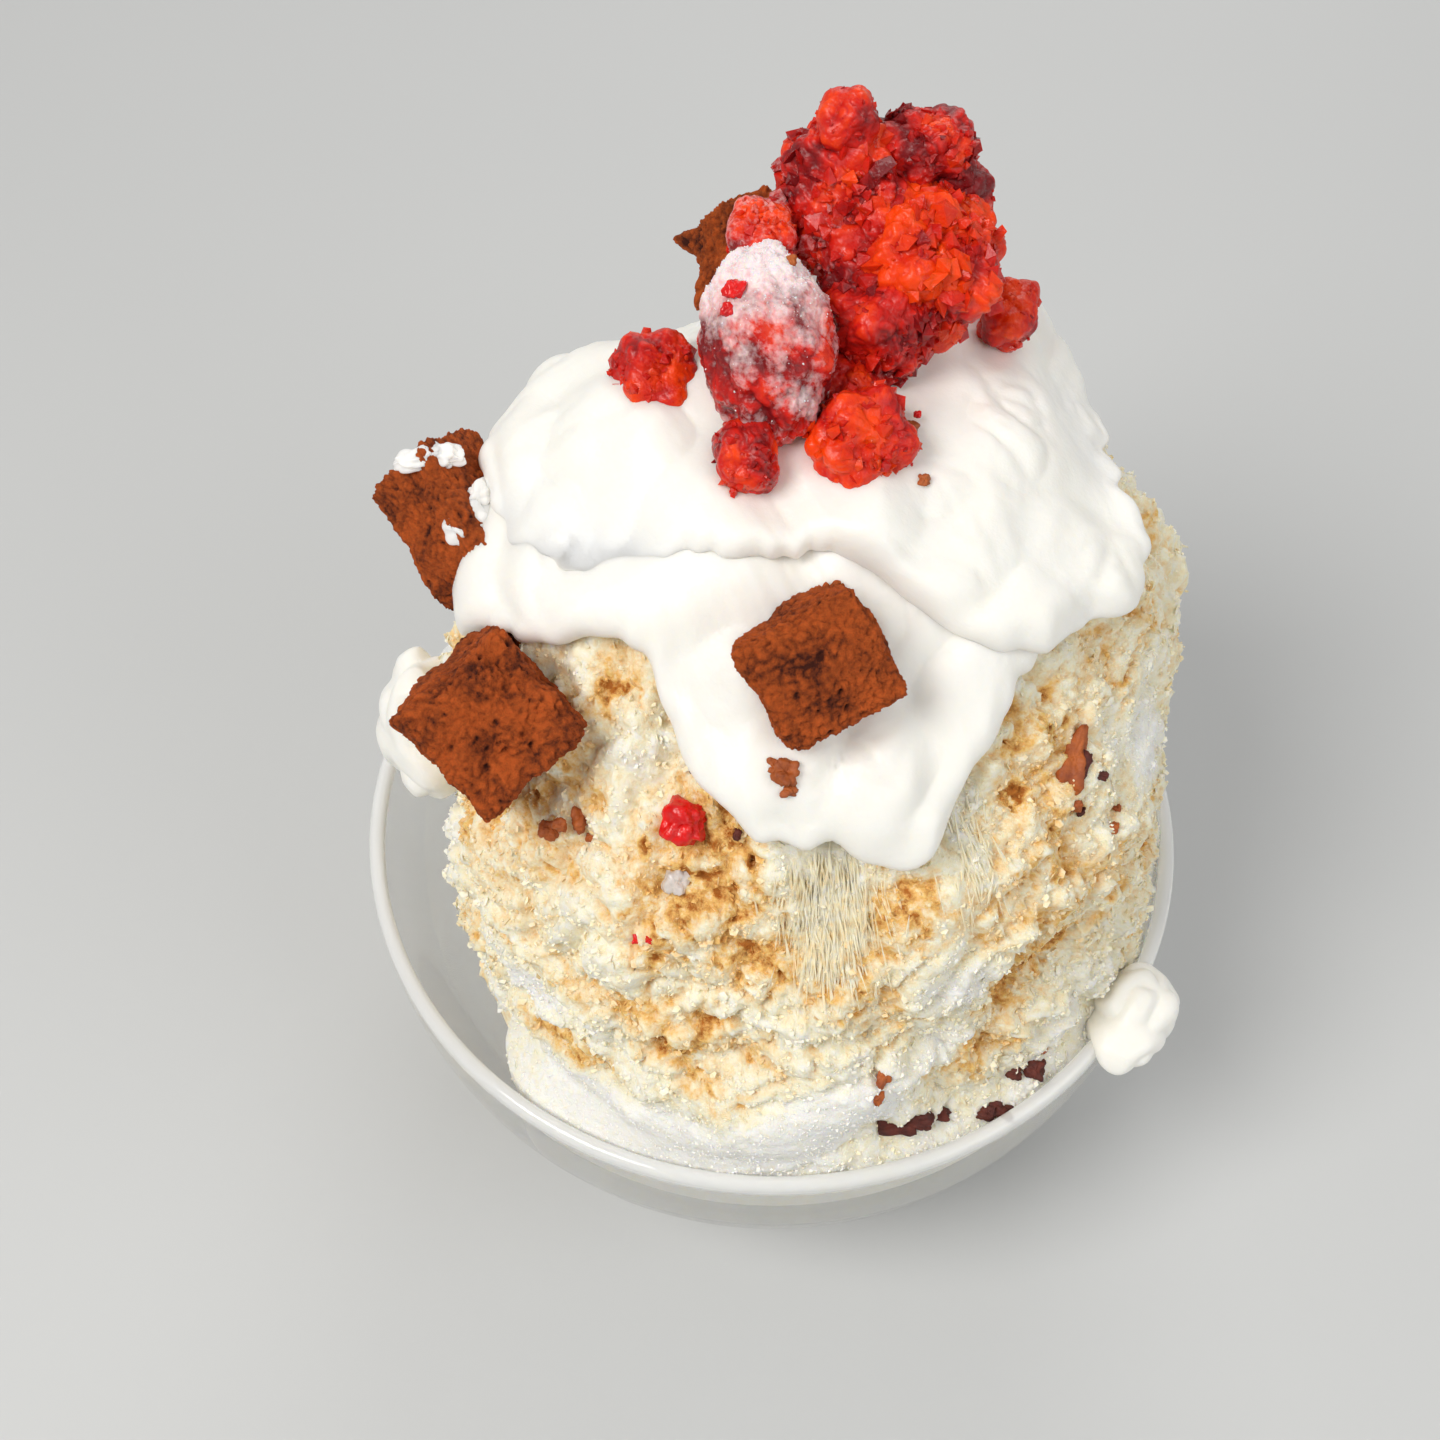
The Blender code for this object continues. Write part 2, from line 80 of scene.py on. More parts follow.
# Heap of ice: radius at the bowl's mouth and squareness of the shoulder, by azimuth
MOUTH = (0, 0, BOWL_HEIGHT)
HEAP_HEIGHT = 0.087
HEAP_LEAN = (0, 0.005, 0)
HEAP_RADIUS = (
    (-180, 0.0525),
    (-150, 0.0565),
    (-125, 0.0620),
    (-105, 0.0655),
    (-85, 0.0666),
    (-55, 0.0635),
    (-20, 0.0658),
    (15, 0.0665),
    (50, 0.0645),
    (90, 0.0595),
    (135, 0.0580),
)
HEAP_POWER = (
    (-180, 2.85),
    (-135, 2.60),
    (-90, 2.05),
    (-45, 2.10),
    (0, 2.15),
    (45, 2.35),
    (90, 1.80),
    (135, 1.65),
)
ICE_SWELLS = 0.0030
ICE_LUMPS = 0.0022
# How far the ice reaches into the glass where it touches it
INTO_GLASS = 0.0003
ICE_SEGMENTS = 420
# How far light spreads in the packed ice, and in loose pieces too thin to hold it
PACKED_ICE_DEPTH = 0.0018
LOOSE_ICE_DEPTH = 0.0001
# How much of the loose ice lies on the viewer's side
FRONT_SHARE = 0.62

# Bulges and dents as (azimuth, polar angle, spread along azimuth, spread along polar, height)
HEAP_FEATURES = (
    (-125, 73, 20, 5, -0.0035),
    (-85, 68, 18, 5, -0.0030),
    (-36, 58, 12, 8, 0.0020),
    (10, 46, 24, 13, 0.0072),
    (175, 60, 20, 10, 0.0015),
)
CAP_FEATURES = (
    (45, 30, 7, 5, 0.0050),
    (150, 24, 6, 5, 0.0030),
    (175, 30, 6, 6, 0.0030),
    (-60, 16, 12, 5, 0.0025),
    (-25, 28, 10, 6, 0.0020),
    (-100, 9, 8, 5, -0.0020),
    (98, 18, 9, 8, 0.0055),
    (15, 30, 30, 12, -0.0035),
    (-150, 25, 24, 9, -0.0044),
    (-128, 19, 7, 5, -0.0022),
)
# Small hollows and cracks in the ice
ICE_HOLLOWS = (
    (-101, 63, 2.2, 1.6, -0.0040),
    (-107, 45, 3.0, 2.0, -0.0020),
    (-100, 68, 6.0, 3.0, -0.0015),
    (-45, 50, 1.6, 4.0, -0.0016),
    (-54, 70, 2.2, 2.2, -0.0032),
    (-47, 65, 5.0, 1.6, -0.0024),
    (-59, 79, 2.0, 2.0, -0.0024),
    (-66, 66, 1.8, 1.8, -0.0020),
    (-118, 80, 12, 2.2, -0.0026),
)
# Where syrup has soaked in, where the ice stayed white, and one row of painted shadow: the last value is
# the amount
SYRUP_PATCHES = (
    (-107, 38, 5, 6, 0.55),
    (-98, 38, 3, 6, 0.65),
    (-95, 51, 4, 7, 0.70),
    (-72, 47, 4, 6, 0.55),
    (-84, 57, 10, 3, 0.45),
    (-106, 47, 5, 5, 0.50),
    (-103, 68, 9, 6, 0.60),
    (-101, 63, 3, 2, 0.50),
    # Painted shadow: the beige band under the ledge where the ice above overhangs
    (-123, 79, 14, 2.5, 0.45),
    (-45, 52, 3, 8, 0.50),
    (-42, 38, 5, 5, 0.35),
    (-54, 70, 4, 4, 0.70),
    (-47, 65, 8, 3, 0.60),
    (-35, 60, 8, 9, 0.30),
    (-60, 78, 8, 3, 0.45),
    (-140, 52, 18, 14, 0.22),
    (-134, 60, 5, 5, 0.15),
    (-20, 66, 10, 6, 0.25),
    (20, 60, 14, 8, 0.45),
    (60, 70, 12, 9, 0.40),
    (110, 58, 16, 9, 0.45),
    (165, 66, 12, 8, 0.40),
    (-131, 72, 9, 5, -0.60),
    (-113, 89, 20, 6, -0.70),
    (-84, 80, 13, 7, -0.55),
    (-21, 53, 8, 6, -0.40),
    (-62, 63, 5, 5, -0.35),
    (-66, 73, 7, 4, -0.35),
    (-114, 34, 4, 5, -0.25),
    (85, 52, 10, 8, -0.35),
    (-160, 70, 12, 8, -0.35),
)
SMOOTH_PATCHES = (
    (-113, 88, 22, 7, 1.0),
    (-84, 80, 14, 8, 0.9),
    (-131, 72, 8, 4, 0.6),
    (-21, 53, 8, 6, 0.7),
    (-66, 52, 5, 10, 0.5),
    (120, 80, 30, 8, 0.8),
)
# Long fibres of ice below the tongue of cream, and shorter ones on the right
FIBRE_PATCHES = (
    (-83, 47.5, 4.0, 5.5, 1.0),
    (-60, 46, 2.5, 6, 0.4),
    (40, 62, 9, 7, 0.8),
    (140, 70, 9, 6, 0.8),
)
# How much of the needles each of these patches gets
FIBRE_SHARES = (0.6, 0.06, 0.17, 0.17)

# Cream: how far each layer reaches down the heap, as (azimuth, polar angle)
TONGUE_REACH = (
    (-180, 40),
    (-165, 37),
    (-150, 31.5),
    (-135, 27),
    (-122, 25),
    (-112, 29.5),
    (-103, 33.5),
    (-94, 37.5),
    (-85, 39),
    (-74, 42),
    (-66, 40.5),
    (-57, 36),
    (-42, 31),
    (-20, 31),
    (20, 33),
    (60, 33),
    (100, 34),
    (145, 38),
)
CAP_REACH = (
    (-180, 28),
    (-150, 24),
    (-118, 17),
    (-90, 15),
    (-68, 16.5),
    (-57, 22),
    (-46, 28),
    (-32, 31.5),
    (-12, 35),
    (0, 32),
    (16, 34),
    (45, 35),
    (90, 34),
    (140, 31),
)
TONGUE_THICKNESS = 0.0060
CAP_THICKNESS = 0.0110
# How high over the ice the edge of each layer turns under
TONGUE_LIFT = 0.0002
CAP_LIFT = 0.0052
# How far the underside sinks into the ice, how much of the reach the lip takes up, and the rows
# of points round the lip and back along the underside
CREAM_SUNK = 0.0015
CREAM_LIP = 0.11
LIP_ROWS = 26
UNDER_ROWS = 8

# Lumps of cream: name, middle, half sizes, turn in degrees
DOLLOPS = (
    ("cream_left", (-0.0550, -0.0060, 0.0955), (0.0075, 0.0105, 0.0125), (0, 0, 12)),
    ("cream_rim", (0.0580, -0.0400, 0.0610), (0.0068, 0.0095, 0.0062), (0, 0, -35)),
)
# Cake: name, middle, sizes, turn in degrees
CAKES = (
    ("cake_front", (0.0036, -0.0302, 0.1428), (0.0172, 0.0165, 0.0165), (45, -18, 23)),
    ("cake_left", (-0.0405, -0.0295, 0.1295), (0.0185, 0.0180, 0.0205), (38, -22, 38)),
    ("cake_upper_left", (-0.0452, 0.0015, 0.1342), (0.0132, 0.0140, 0.0225), (-42, -50, 0)),
    ("cake_crown", (-0.0056, 0.0310, 0.1604), (0.0112, 0.0106, 0.0124), (30, 20, 35)),
)
# Raspberries and pieces: name, middle, half sizes, turn in degrees, drupelets round the whole,
# and how orange (1) or dark (-1) the flesh is
RASPBERRIES = (
    ("raspberry_frosted", (-0.0026, 0.0040, 0.1668), (0.0092, 0.0096, 0.0136), (-50, 0, 8), 64, -0.5),
    ("raspberry_chunk_bright", (0.0186, 0.0195, 0.1668), (0.0104, 0.0112, 0.0106), (10, 30, 0), 30, 0.6),
    ("raspberry_chunk_dark", (0.0120, 0.0135, 0.1627), (0.0082, 0.0092, 0.0092), (0, 0, 20), 34, -0.6),
    ("raspberry_crown_face", (0.0080, 0.0262, 0.1722), (0.0096, 0.0092, 0.0118), (-38, -12, 0), 48, -0.2),
    ("raspberry_crown_back", (0.0180, 0.0308, 0.1764), (0.0088, 0.0064, 0.0064), (0, 10, 10), 30, -0.5),
    ("raspberry_crown_nub", (0.0079, 0.0284, 0.1834), (0.0046, 0.0045, 0.0046), (0, 0, 0), 16, -0.1),
    ("raspberry_crown_right", (0.0232, 0.0310, 0.1690), (0.0058, 0.0060, 0.0066), (0, 0, 30), 20, -0.7),
    ("raspberry_piece_pink", (-0.0031, 0.0190, 0.1712), (0.0052, 0.0060, 0.0062), (0, 0, 0), 18, 0.4),
    ("raspberry_piece_middle", (0.0080, 0.0045, 0.1572), (0.0052, 0.0062, 0.0060), (20, 0, 0), 18, -0.3),
    ("raspberry_piece_front", (0.0094, -0.0045, 0.1580), (0.0078, 0.0072, 0.0064), (40, 0, 30), 22, 0.6),
    ("raspberry_piece_low", (-0.0056, -0.0088, 0.1590), (0.0047, 0.0056, 0.0050), (40, 0, 10), 14, 0.3),
    ("raspberry_piece_left", (-0.0176, 0.0080, 0.1568), (0.0064, 0.0070, 0.0060), (30, 10, 30), 16, 0.2),
    ("raspberry_piece_right", (0.0320, 0.0230, 0.1548), (0.0042, 0.0054, 0.0052), (20, 20, 0), 14, 0.5),
)

# Further frost on broken pieces, and how much more torn some pieces of cake are
FROSTY = {"raspberry_piece_pink": 0.42, "raspberry_crown_face": 0.20, "raspberry_crown_back": 0.10}
RAGGED = {"cake_crown": 1.8, "cake_left": 1.7, "cake_upper_left": 1.7}
# Which way the frosted side of the whole raspberry faces
FROST_SIDE = np.array((-0.1, 0.72, 0.69))
# Half sizes of the piece that gets the stated number of shards, and of one with full-size shards
SHARDS_HALF = 0.0075
FULL_SHARDS_HALF = 0.0085
# Pieces of berry with a longer half size than this get a finer grid
FINE_GRID_HALF = 0.008

# Chips on the ice: azimuth, polar angle, half width, half length towards the viewer, kind
CHIPS = (
    (-107, 37.8, 0.0031, 0.0030, "berry"),
    (-111, 51.5, 0.0007, 0.0008, "berry"),
    (-109, 51.0, 0.0005, 0.0005, "berry"),
    (-125, 41.8, 0.0013, 0.0018, "toffee"),
    (-123, 43.2, 0.0008, 0.0010, "toffee"),
    (-36, 42.8, 0.0018, 0.0044, "toffee"),
    (-36, 44.0, 0.0016, 0.0026, "cocoa"),
    (-35, 46.2, 0.0008, 0.0008, "cocoa"),
    (-40, 47.0, 0.0011, 0.0010, "toffee"),
    (-39, 48.5, 0.0006, 0.0008, "cocoa"),
    (-34, 54.5, 0.0008, 0.0010, "toffee"),
    (-31, 53.5, 0.0006, 0.0006, "toffee"),
    (-107, 32.3, 0.0009, 0.0010, "cocoa"),
    (-97, 36.2, 0.0008, 0.0013, "cocoa"),
    (-98, 38.0, 0.0006, 0.0008, "cocoa"),
    (-73, 87.8, 0.0030, 0.0016, "cocoa"),
    (-70, 86.8, 0.0022, 0.0015, "cocoa"),
    (-66.5, 89.0, 0.0020, 0.0013, "cocoa"),
    (-60, 90.8, 0.0016, 0.0012, "cocoa"),
    (-58, 91.5, 0.0022, 0.0015, "cocoa"),
    (-54, 88.0, 0.0012, 0.0010, "cocoa"),
    (-51, 88.8, 0.0018, 0.0016, "cocoa"),
    (-49, 86.0, 0.0010, 0.0009, "toffee"),
    (-76, 72.0, 0.0011, 0.0018, "toffee"),
    (-77, 75.0, 0.0009, 0.0014, "toffee"),
    (-107, 44.3, 0.0016, 0.0020, "crystal"),
)
# Loose crumbs off the ice: middle, half size, kind
CRUMBS = (
    ((-0.0004, -0.0418, 0.1342), 0.0018, "toffee"),
    ((-0.0018, -0.0412, 0.1345), 0.0011, "toffee"),
    ((0.0002, -0.0434, 0.1325), 0.0010, "toffee"),
    ((-0.0330, -0.0390, 0.1160), 0.0014, "toffee"),
    ((-0.0310, -0.0400, 0.1190), 0.0010, "toffee"),
    ((-0.0071, 0.0043, 0.1757), 0.0014, "berry"),
    ((-0.0078, 0.0022, 0.1744), 0.0011, "berry"),
    ((0.0003, 0.0090, 0.1768), 0.0007, "toffee"),
    ((0.0170, -0.0040, 0.1560), 0.0007, "berry"),
    ((0.0180, -0.0085, 0.1543), 0.0009, "toffee"),
    ((0.0164, -0.0065, 0.1551), 0.0004, "berry"),
    ((0.0168, -0.0012, 0.1568), 0.0009, "toffee"),
    ((0.0176, 0.0008, 0.1572), 0.0005, "berry"),
)
# Smears of cream on the cake: middle, half sizes, turn in degrees
SMEARS = (
    ((-0.0441, -0.0033, 0.1396), (0.0036, 0.0030, 0.0012), (36, 8, -25)),
    ((-0.0420, 0.0006, 0.1417), (0.0024, 0.0020, 0.0011), (36, 0, 20)),
    ((-0.0513, 0.0041, 0.1453), (0.0034, 0.0016, 0.0010), (36, -15, 8)),
    ((-0.0478, 0.0048, 0.1452), (0.0030, 0.0018, 0.0012), (36, 0, -10)),
)

# Camera: where it stands, how far it looks down, and its lens
CAMERA_PLACE = (-0.0089, -0.1813, 0.3407)
CAMERA_DOWN = math.radians(54.35)
CAMERA_LENS = 47.5
# Stage: half width of the floor, where the lamps point, and each lamp's name, place, size,
# power and colour
FLOOR_HALF = 3.0
LAMP_TARGET = (0, 0, 0.08)
LAMPS = (
    ("key", (-0.45, -0.35, 0.85), 0.45, 6.3, (1.0, 0.98, 0.95)),
    ("fill", (0.60, -0.40, 0.55), 0.70, 2.1, (1.0, 1.0, 1.0)),
    ("back", (0.15, 0.75, 0.60), 0.60, 2.2, (1.0, 0.99, 0.97)),
)


class DessertShape(PropertyGroup):
    """Sizes and amounts of the dessert's fine surface."""

    clump_depth: FloatProperty(
        name="Clump depth", description="Depth of the creases between clumps of ice",
        default=0.0027, min=0, unit="LENGTH",
    )
    pore_depth: FloatProperty(
        name="Pore depth", description="Depth of the larger pores melted into the ice",
        default=0.0030, min=0, unit="LENGTH",
    )
    flakes: IntProperty(
        name="Flakes", description="Number of thin flakes lying on the ice", default=9000, min=1
    )
    grains: IntProperty(
        name="Grains", description="Number of small ice grains", default=14000, min=1
    )
    fibres: IntProperty(
        name="Fibres", description="Number of fine ice needles", default=1000, min=1
    )
    fold_height: FloatProperty(
        name="Fold height", description="Height of the soft folds in the cream",
        default=0.0016, min=0, unit="LENGTH",
    )
    crumb_height: FloatProperty(
        name="Crumb height", description="Roughness of the torn cake",
        default=0.0006, min=0, unit="LENGTH",
    )
    shards: IntProperty(
        name="Shards", description="Torn bits on a broken raspberry 15 mm across",
        default=500, min=1,
    )
    frost_grains: IntProperty(
        name="Frost grains", description="Number of frost crystals on the raspberries",
        default=5200, min=1,
    )


class DessertColours(PropertyGroup):
    """Colours of the dessert."""

    snow: FloatVectorProperty(
        name="Snow", description="Ice with no syrup in it", subtype="COLOR",
        default=(0.95, 0.93, 0.88), min=0, max=1,
    )
    soaked: FloatVectorProperty(
        name="Soaked ice", description="Ice that has taken up a little syrup", subtype="COLOR",
        default=(0.96, 0.88, 0.67), min=0, max=1,
    )
    amber: FloatVectorProperty(
        name="Amber", description="Syrup gathered in pores", subtype="COLOR",
        default=(0.86, 0.54, 0.18), min=0, max=1,
    )
    # Partly real dark syrup, partly painted shade in the deepest cracks
    burnt: FloatVectorProperty(
        name="Burnt syrup", description="Syrup in the deepest cracks", subtype="COLOR",
        default=(0.44, 0.15, 0.022), min=0, max=1,
    )
    cream: FloatVectorProperty(
        name="Cream", description="Whipped cream", subtype="COLOR",
        default=(0.93, 0.92, 0.88), min=0, max=1,
    )
    flesh: FloatVectorProperty(
        name="Flesh", description="Raspberry flesh", subtype="COLOR",
        default=(0.62, 0.014, 0.008), min=0, max=1,
    )
    # Painted light: the orange put on the tops and upper side of the flesh
    flesh_lit: FloatVectorProperty(
        name="Lit flesh", description="Thin raspberry flesh with light in it", subtype="COLOR",
        default=(0.91, 0.062, 0.004), min=0, max=1,
    )
    # Painted shade: the flesh in its creases and on its lower side
    flesh_shaded: FloatVectorProperty(
        name="Dark flesh", description="Raspberry flesh in the shade of its folds",
        subtype="COLOR", default=(0.20, 0.006, 0.008), min=0, max=1,
    )
    frost: FloatVectorProperty(
        name="Frost", description="White frost on the fruit", subtype="COLOR",
        default=(0.93, 0.78, 0.78), min=0, max=1,
    )
    crumb: FloatVectorProperty(
        name="Cake crumb", description="Torn face of the cake", subtype="COLOR",
        default=(0.38, 0.072, 0.011), min=0, max=1,
    )
    crumb_dark: FloatVectorProperty(
        name="Dark crumb", description="Pores and shaded crumb of the cake", subtype="COLOR",
        default=(0.060, 0.010, 0.004), min=0, max=1,
    )


def noise(points, size, seed):
    """Smooth random heights of about -1 to 1 at the points, with bumps about `size` across.

    Gradient noise: each corner of a cubic grid has a random direction, and a point blends the
    slopes of the eight corners round it.
    """
    slopes = np.random.default_rng(11).normal(size=(256, 3))
    slopes /= np.linalg.norm(slopes, axis=1, keepdims=True)
    scaled = np.asarray(points, dtype=float) / size
    cell = np.floor(scaled).astype(np.int64)
    inside = scaled - cell
    fade = inside**3 * (inside * (inside * 6 - 15) + 10)
    total = np.zeros(scaled.shape[:-1])
    for corner in itertools.product((0, 1), repeat=3):
        chosen = slopes[cell_number(cell + np.array(corner), seed)]
        slope = (chosen * (inside - corner)).sum(-1)
        share = np.where(np.array(corner) == 1, fade, 1 - fade).prod(-1)
        total += slope * share
    return 1.6 * total


def cell_number(cell, seed):
    """A fixed number from 0 to 255 for each cell of a cubic grid."""
    x, y, z = np.moveaxis(cell, -1, 0)
    mixed = (x * 73856093) ^ (y * 19349663) ^ (z * 83492791) ^ (seed * 2654435761)
    return ((mixed ^ (mixed >> 15)) * 1274126177 >> 12) % 256


def clumps(points, size, seed):
    """Rounded clumps with sharp creases between them: |noise|, 0 in a crease, about 1 on top."""
    return np.minimum(np.abs(noise(points, size, seed)) * 2.2, 1)


def noise_shift(points, size, seed):
    """Three noises side by side, which bend what is drawn at the points shifted by them."""
    return np.stack([noise(points, size, seed + step) for step in range(3)], -1)


def blunted(points, power):
    """The factor that brings points onto |x|^p + |y|^p + |z|^p = 1, a blunted cube."""
    return (np.abs(points) ** power).sum(-1) ** (-1 / power)


def pores(points, size, seed, smallest, largest):
    """Depth of the nearest round pore, 0 to 1.

    Each cell of a cubic grid of that size holds one ball of random middle and radius, from
    smallest to largest in cells. At distance d from it the depth is 1 - (d / radius)^2.
    """
    places = np.random.default_rng(13).random((256, 4))
    scaled = np.asarray(points, dtype=float) / size
    cell = np.floor(scaled).astype(np.int64)
    deepest = np.zeros(scaled.shape[:-1])
    for step in itertools.product((-1, 0, 1), repeat=3):
        near = cell + np.array(step)
        place = places[cell_number(near, seed)]
        gap = scaled - near - 0.15 - 0.7 * place[..., :3]
        radius = smallest + (largest - smallest) * place[..., 3] ** 2
        deepest = np.maximum(deepest, 1 - (gap**2).sum(-1) / radius**2)
    return deepest


def round_curve(table, azimuth):
    """Values of a closed table of (azimuth, value), joined by a smooth cubic curve."""
    knots = np.array([row[0] for row in table], dtype=float)
    values = np.array([row[1] for row in table], dtype=float)
    knots = np.concatenate([knots[-2:] - 360, knots, knots[:3] + 360])
    values = np.concatenate([values[-2:], values, values[:3]])
    slopes = np.gradient(values, knots)
    azimuth = (np.asarray(azimuth, dtype=float) - knots[2]) % 360 + knots[2]
    left = np.clip(np.searchsorted(knots, azimuth, side="right") - 1, 0, len(knots) - 2)
    width = knots[left + 1] - knots[left]
    t = (azimuth - knots[left]) / width
    near = (1 + 2 * t) * (1 - t) ** 2 * values[left] + t * (1 - t) ** 2 * width * slopes[left]
    far = t**2 * (3 - 2 * t) * values[left + 1] + t**2 * (t - 1) * width * slopes[left + 1]
    return near + far


def features(table, azimuth, polar):
    """Sum of the table's rounded bulges and dents at each azimuth and polar angle."""
    total = np.zeros(np.shape(azimuth))
    for centre, height_angle, wide, tall, height in table:
        across = ((azimuth - centre + 180) % 360 - 180) * np.sin(np.radians(polar)) / wide
        along = (polar - height_angle) / tall
        total += height * np.exp(-(across**2) - along**2)
    return total


def directions(azimuth, polar):
    """Unit directions for azimuths and polar angles in degrees."""
    a, p = np.radians(azimuth), np.radians(polar)
    return np.stack([np.sin(p) * np.cos(a), np.sin(p) * np.sin(a), np.cos(p)], -1)


def heap_distance(azimuth, polar):
    """Distance from the bowl's mouth to the heap, a superellipse in each upright section."""
    p = np.radians(polar)
    wide = round_curve(HEAP_RADIUS, azimuth)
    above = polar < 90
    tall = np.where(above, HEAP_HEIGHT, CAVITY_DEPTH)
    power = np.where(above, round_curve(HEAP_POWER, azimuth), CAVITY_POWER)
    smooth = ((np.abs(np.cos(p)) / tall) ** power + (np.sin(p) / wide) ** power) ** (-1 / power)
    points = directions(azimuth, polar) * smooth[..., None]
    relief = ICE_SWELLS * noise(points, 0.030, 1) + ICE_LUMPS * noise(points, 0.013, 2)
    relief += features(HEAP_FEATURES, azimuth, polar)
    free = np.clip((96 - polar) / 16, 0, 1)
    return smooth + np.where(relief > 0, relief * free, relief * np.clip((150 - polar) / 40, 0, 1))


def on_heap(azimuth, polar, distance):
    """Points at that distance from the bowl's mouth, with the heap leaning as it rises."""
    points = directions(azimuth, polar) * distance[..., None]
    rise = np.clip(points[..., 2] / HEAP_HEIGHT, 0, 1.3) ** 1.5
    return points + rise[..., None] * np.array(HEAP_LEAN) + np.array(MOUTH)


def glass_distance(polar):
    """Distance from the bowl's mouth to the inside of the glass, below the rim."""
    p = np.radians(np.maximum(polar, 90))
    down = (np.abs(np.cos(p)) / CAVITY_DEPTH) ** CAVITY_POWER
    out = (np.sin(p) / CAVITY_RADIUS) ** CAVITY_POWER
    return (down + out) ** (-1 / CAVITY_POWER)


def fibre_grooves(azimuth, polar, base):
    """Grooves that run down the heap: how high the wide ones stand, and the relief of all.

    They are |noise| on (arc along the azimuth, arc along the polar angle) with the second shrunk
    to a tenth.
    """
    arc = np.stack(
        [
            np.radians(azimuth) * np.sin(np.radians(polar)) * base,
            np.radians(polar) * base / 10,
            np.zeros(np.shape(base)),
        ],
        -1,
    )
    wide = clumps(arc, 0.0026, 24)
    return wide, 0.0004 * (wide - 0.5) + 0.0002 * (clumps(arc, 0.0012, 25) - 0.5)


def against_glass(azimuth, polar, distance):
    """The distance where the ice meets the bowl's inside, and how much it is pressed to it."""
    wall = glass_distance(polar) + INTO_GLASS
    near_wall = np.clip((round_curve(HEAP_RADIUS, azimuth) - 0.0590) / 0.0030, 0, 1)
    touching = np.clip((polar - 87) / 6, 0, 1) * near_wall
    touching = np.maximum(touching, np.clip((polar - 140) / 15, 0, 1))
    distance = distance + (wall - distance) * touching
    return np.where(polar > 89, np.minimum(distance, wall), distance), touching


def ice_surface(azimuth, polar, shape):
    """The fine surface of the ice: its points, how much syrup it holds with painted shade in its
    recesses, and how rough it is.

    Heap + clumps at four sizes - pores at two sizes - hollows, each scaled by how rough the
    place is. In a fibre patch the clumps give way to grooves.
    """
    base = heap_distance(azimuth, polar)
    points = directions(azimuth, polar) * base[..., None]
    rough = 1 - np.clip(features(SMOOTH_PATCHES, azimuth, polar), 0, 0.85)
    fibrous = np.clip(features(FIBRE_PATCHES, azimuth, polar) * 1.3, 0, 0.85)
    warp = points + 0.0016 * noise_shift(points, 0.005, 31)
    warp = warp + 0.0007 * noise_shift(points, 0.0019, 34)
    middling = clumps(warp, 0.0058, 22)
    relief = shape.clump_depth * (clumps(warp, 0.0115, 21) - 0.75)
    relief += 0.60 * shape.clump_depth * (middling - 0.7)
    relief += 0.34 * shape.clump_depth * (clumps(warp, 0.0030, 23) - 0.6)
    relief += 0.16 * shape.clump_depth * (clumps(points, 0.0015, 29) - 0.5)
    wide_groove, grooves = fibre_grooves(azimuth, polar, base)
    region = 0.26 + 0.74 * features(SYRUP_PATCHES, azimuth, polar)
    region = np.clip(region + 0.34 * noise(points, 0.014, 26), 0, 1)
    open_pores = np.clip(region * 1.5 - 0.1, 0.10, 1) * rough
    large = pores(warp, 0.0068, 27, 0.10, 0.46)
    small = pores(warp, 0.0030, 28, 0.10, 0.48)
    relief = relief * rough * (1 - fibrous) + grooves * fibrous
    deep = open_pores * (1 - 0.7 * fibrous)
    relief -= shape.pore_depth * large * deep + 0.45 * shape.pore_depth * small * deep
    hollows = features(ICE_HOLLOWS, azimuth, polar) * np.clip(0.3 + 1.1 * middling, 0, 1)
    relief += hollows
    free = np.clip((101 - polar) / 9, 0, 1)
    distance, touching = against_glass(azimuth, polar, base + relief * free)
    # Syrup colour, partly real syrup and partly painted shade: heavier in the creases between clumps, in
    # the deeper parts of pores and hollows, and in the grooves of fibre patches
    syrup = 0.06 + region * (0.38 + 0.55 * (1 - middling)) + 0.85 * large * deep
    syrup += 0.60 * small * deep + 55 * np.clip(-hollows, 0, 0.004)
    syrup += fibrous * (0.05 - 0.12 * wide_groove) - 0.15 * (1 - rough)
    syrup = syrup * (1 - 0.85 * touching)
    return on_heap(azimuth, polar, distance), np.clip(syrup, 0, 1), rough


def new_mesh(name, points, *groups):
    """A smooth mesh of the points and of arrays of faces, each with its own count of corners."""
    mesh = bpy.data.meshes.new(name)
    corners = np.concatenate([faces.ravel() for faces in groups])
    sizes = np.concatenate([np.full(len(faces), faces.shape[1]) for faces in groups])
    mesh.vertices.add(len(points))
    mesh.vertices.foreach_set("co", np.asarray(points, dtype=np.float32).ravel())
    mesh.loops.add(len(corners))
    mesh.loops.foreach_set("vertex_index", corners.astype(np.int32))
    mesh.polygons.add(len(sizes))
    starts = np.concatenate([[0], np.cumsum(sizes)[:-1]])
    mesh.polygons.foreach_set("loop_start", starts.astype(np.int32))
    mesh.update(calc_edges=True)
    mesh.validate()
    mesh.shade_smooth()
    return mesh


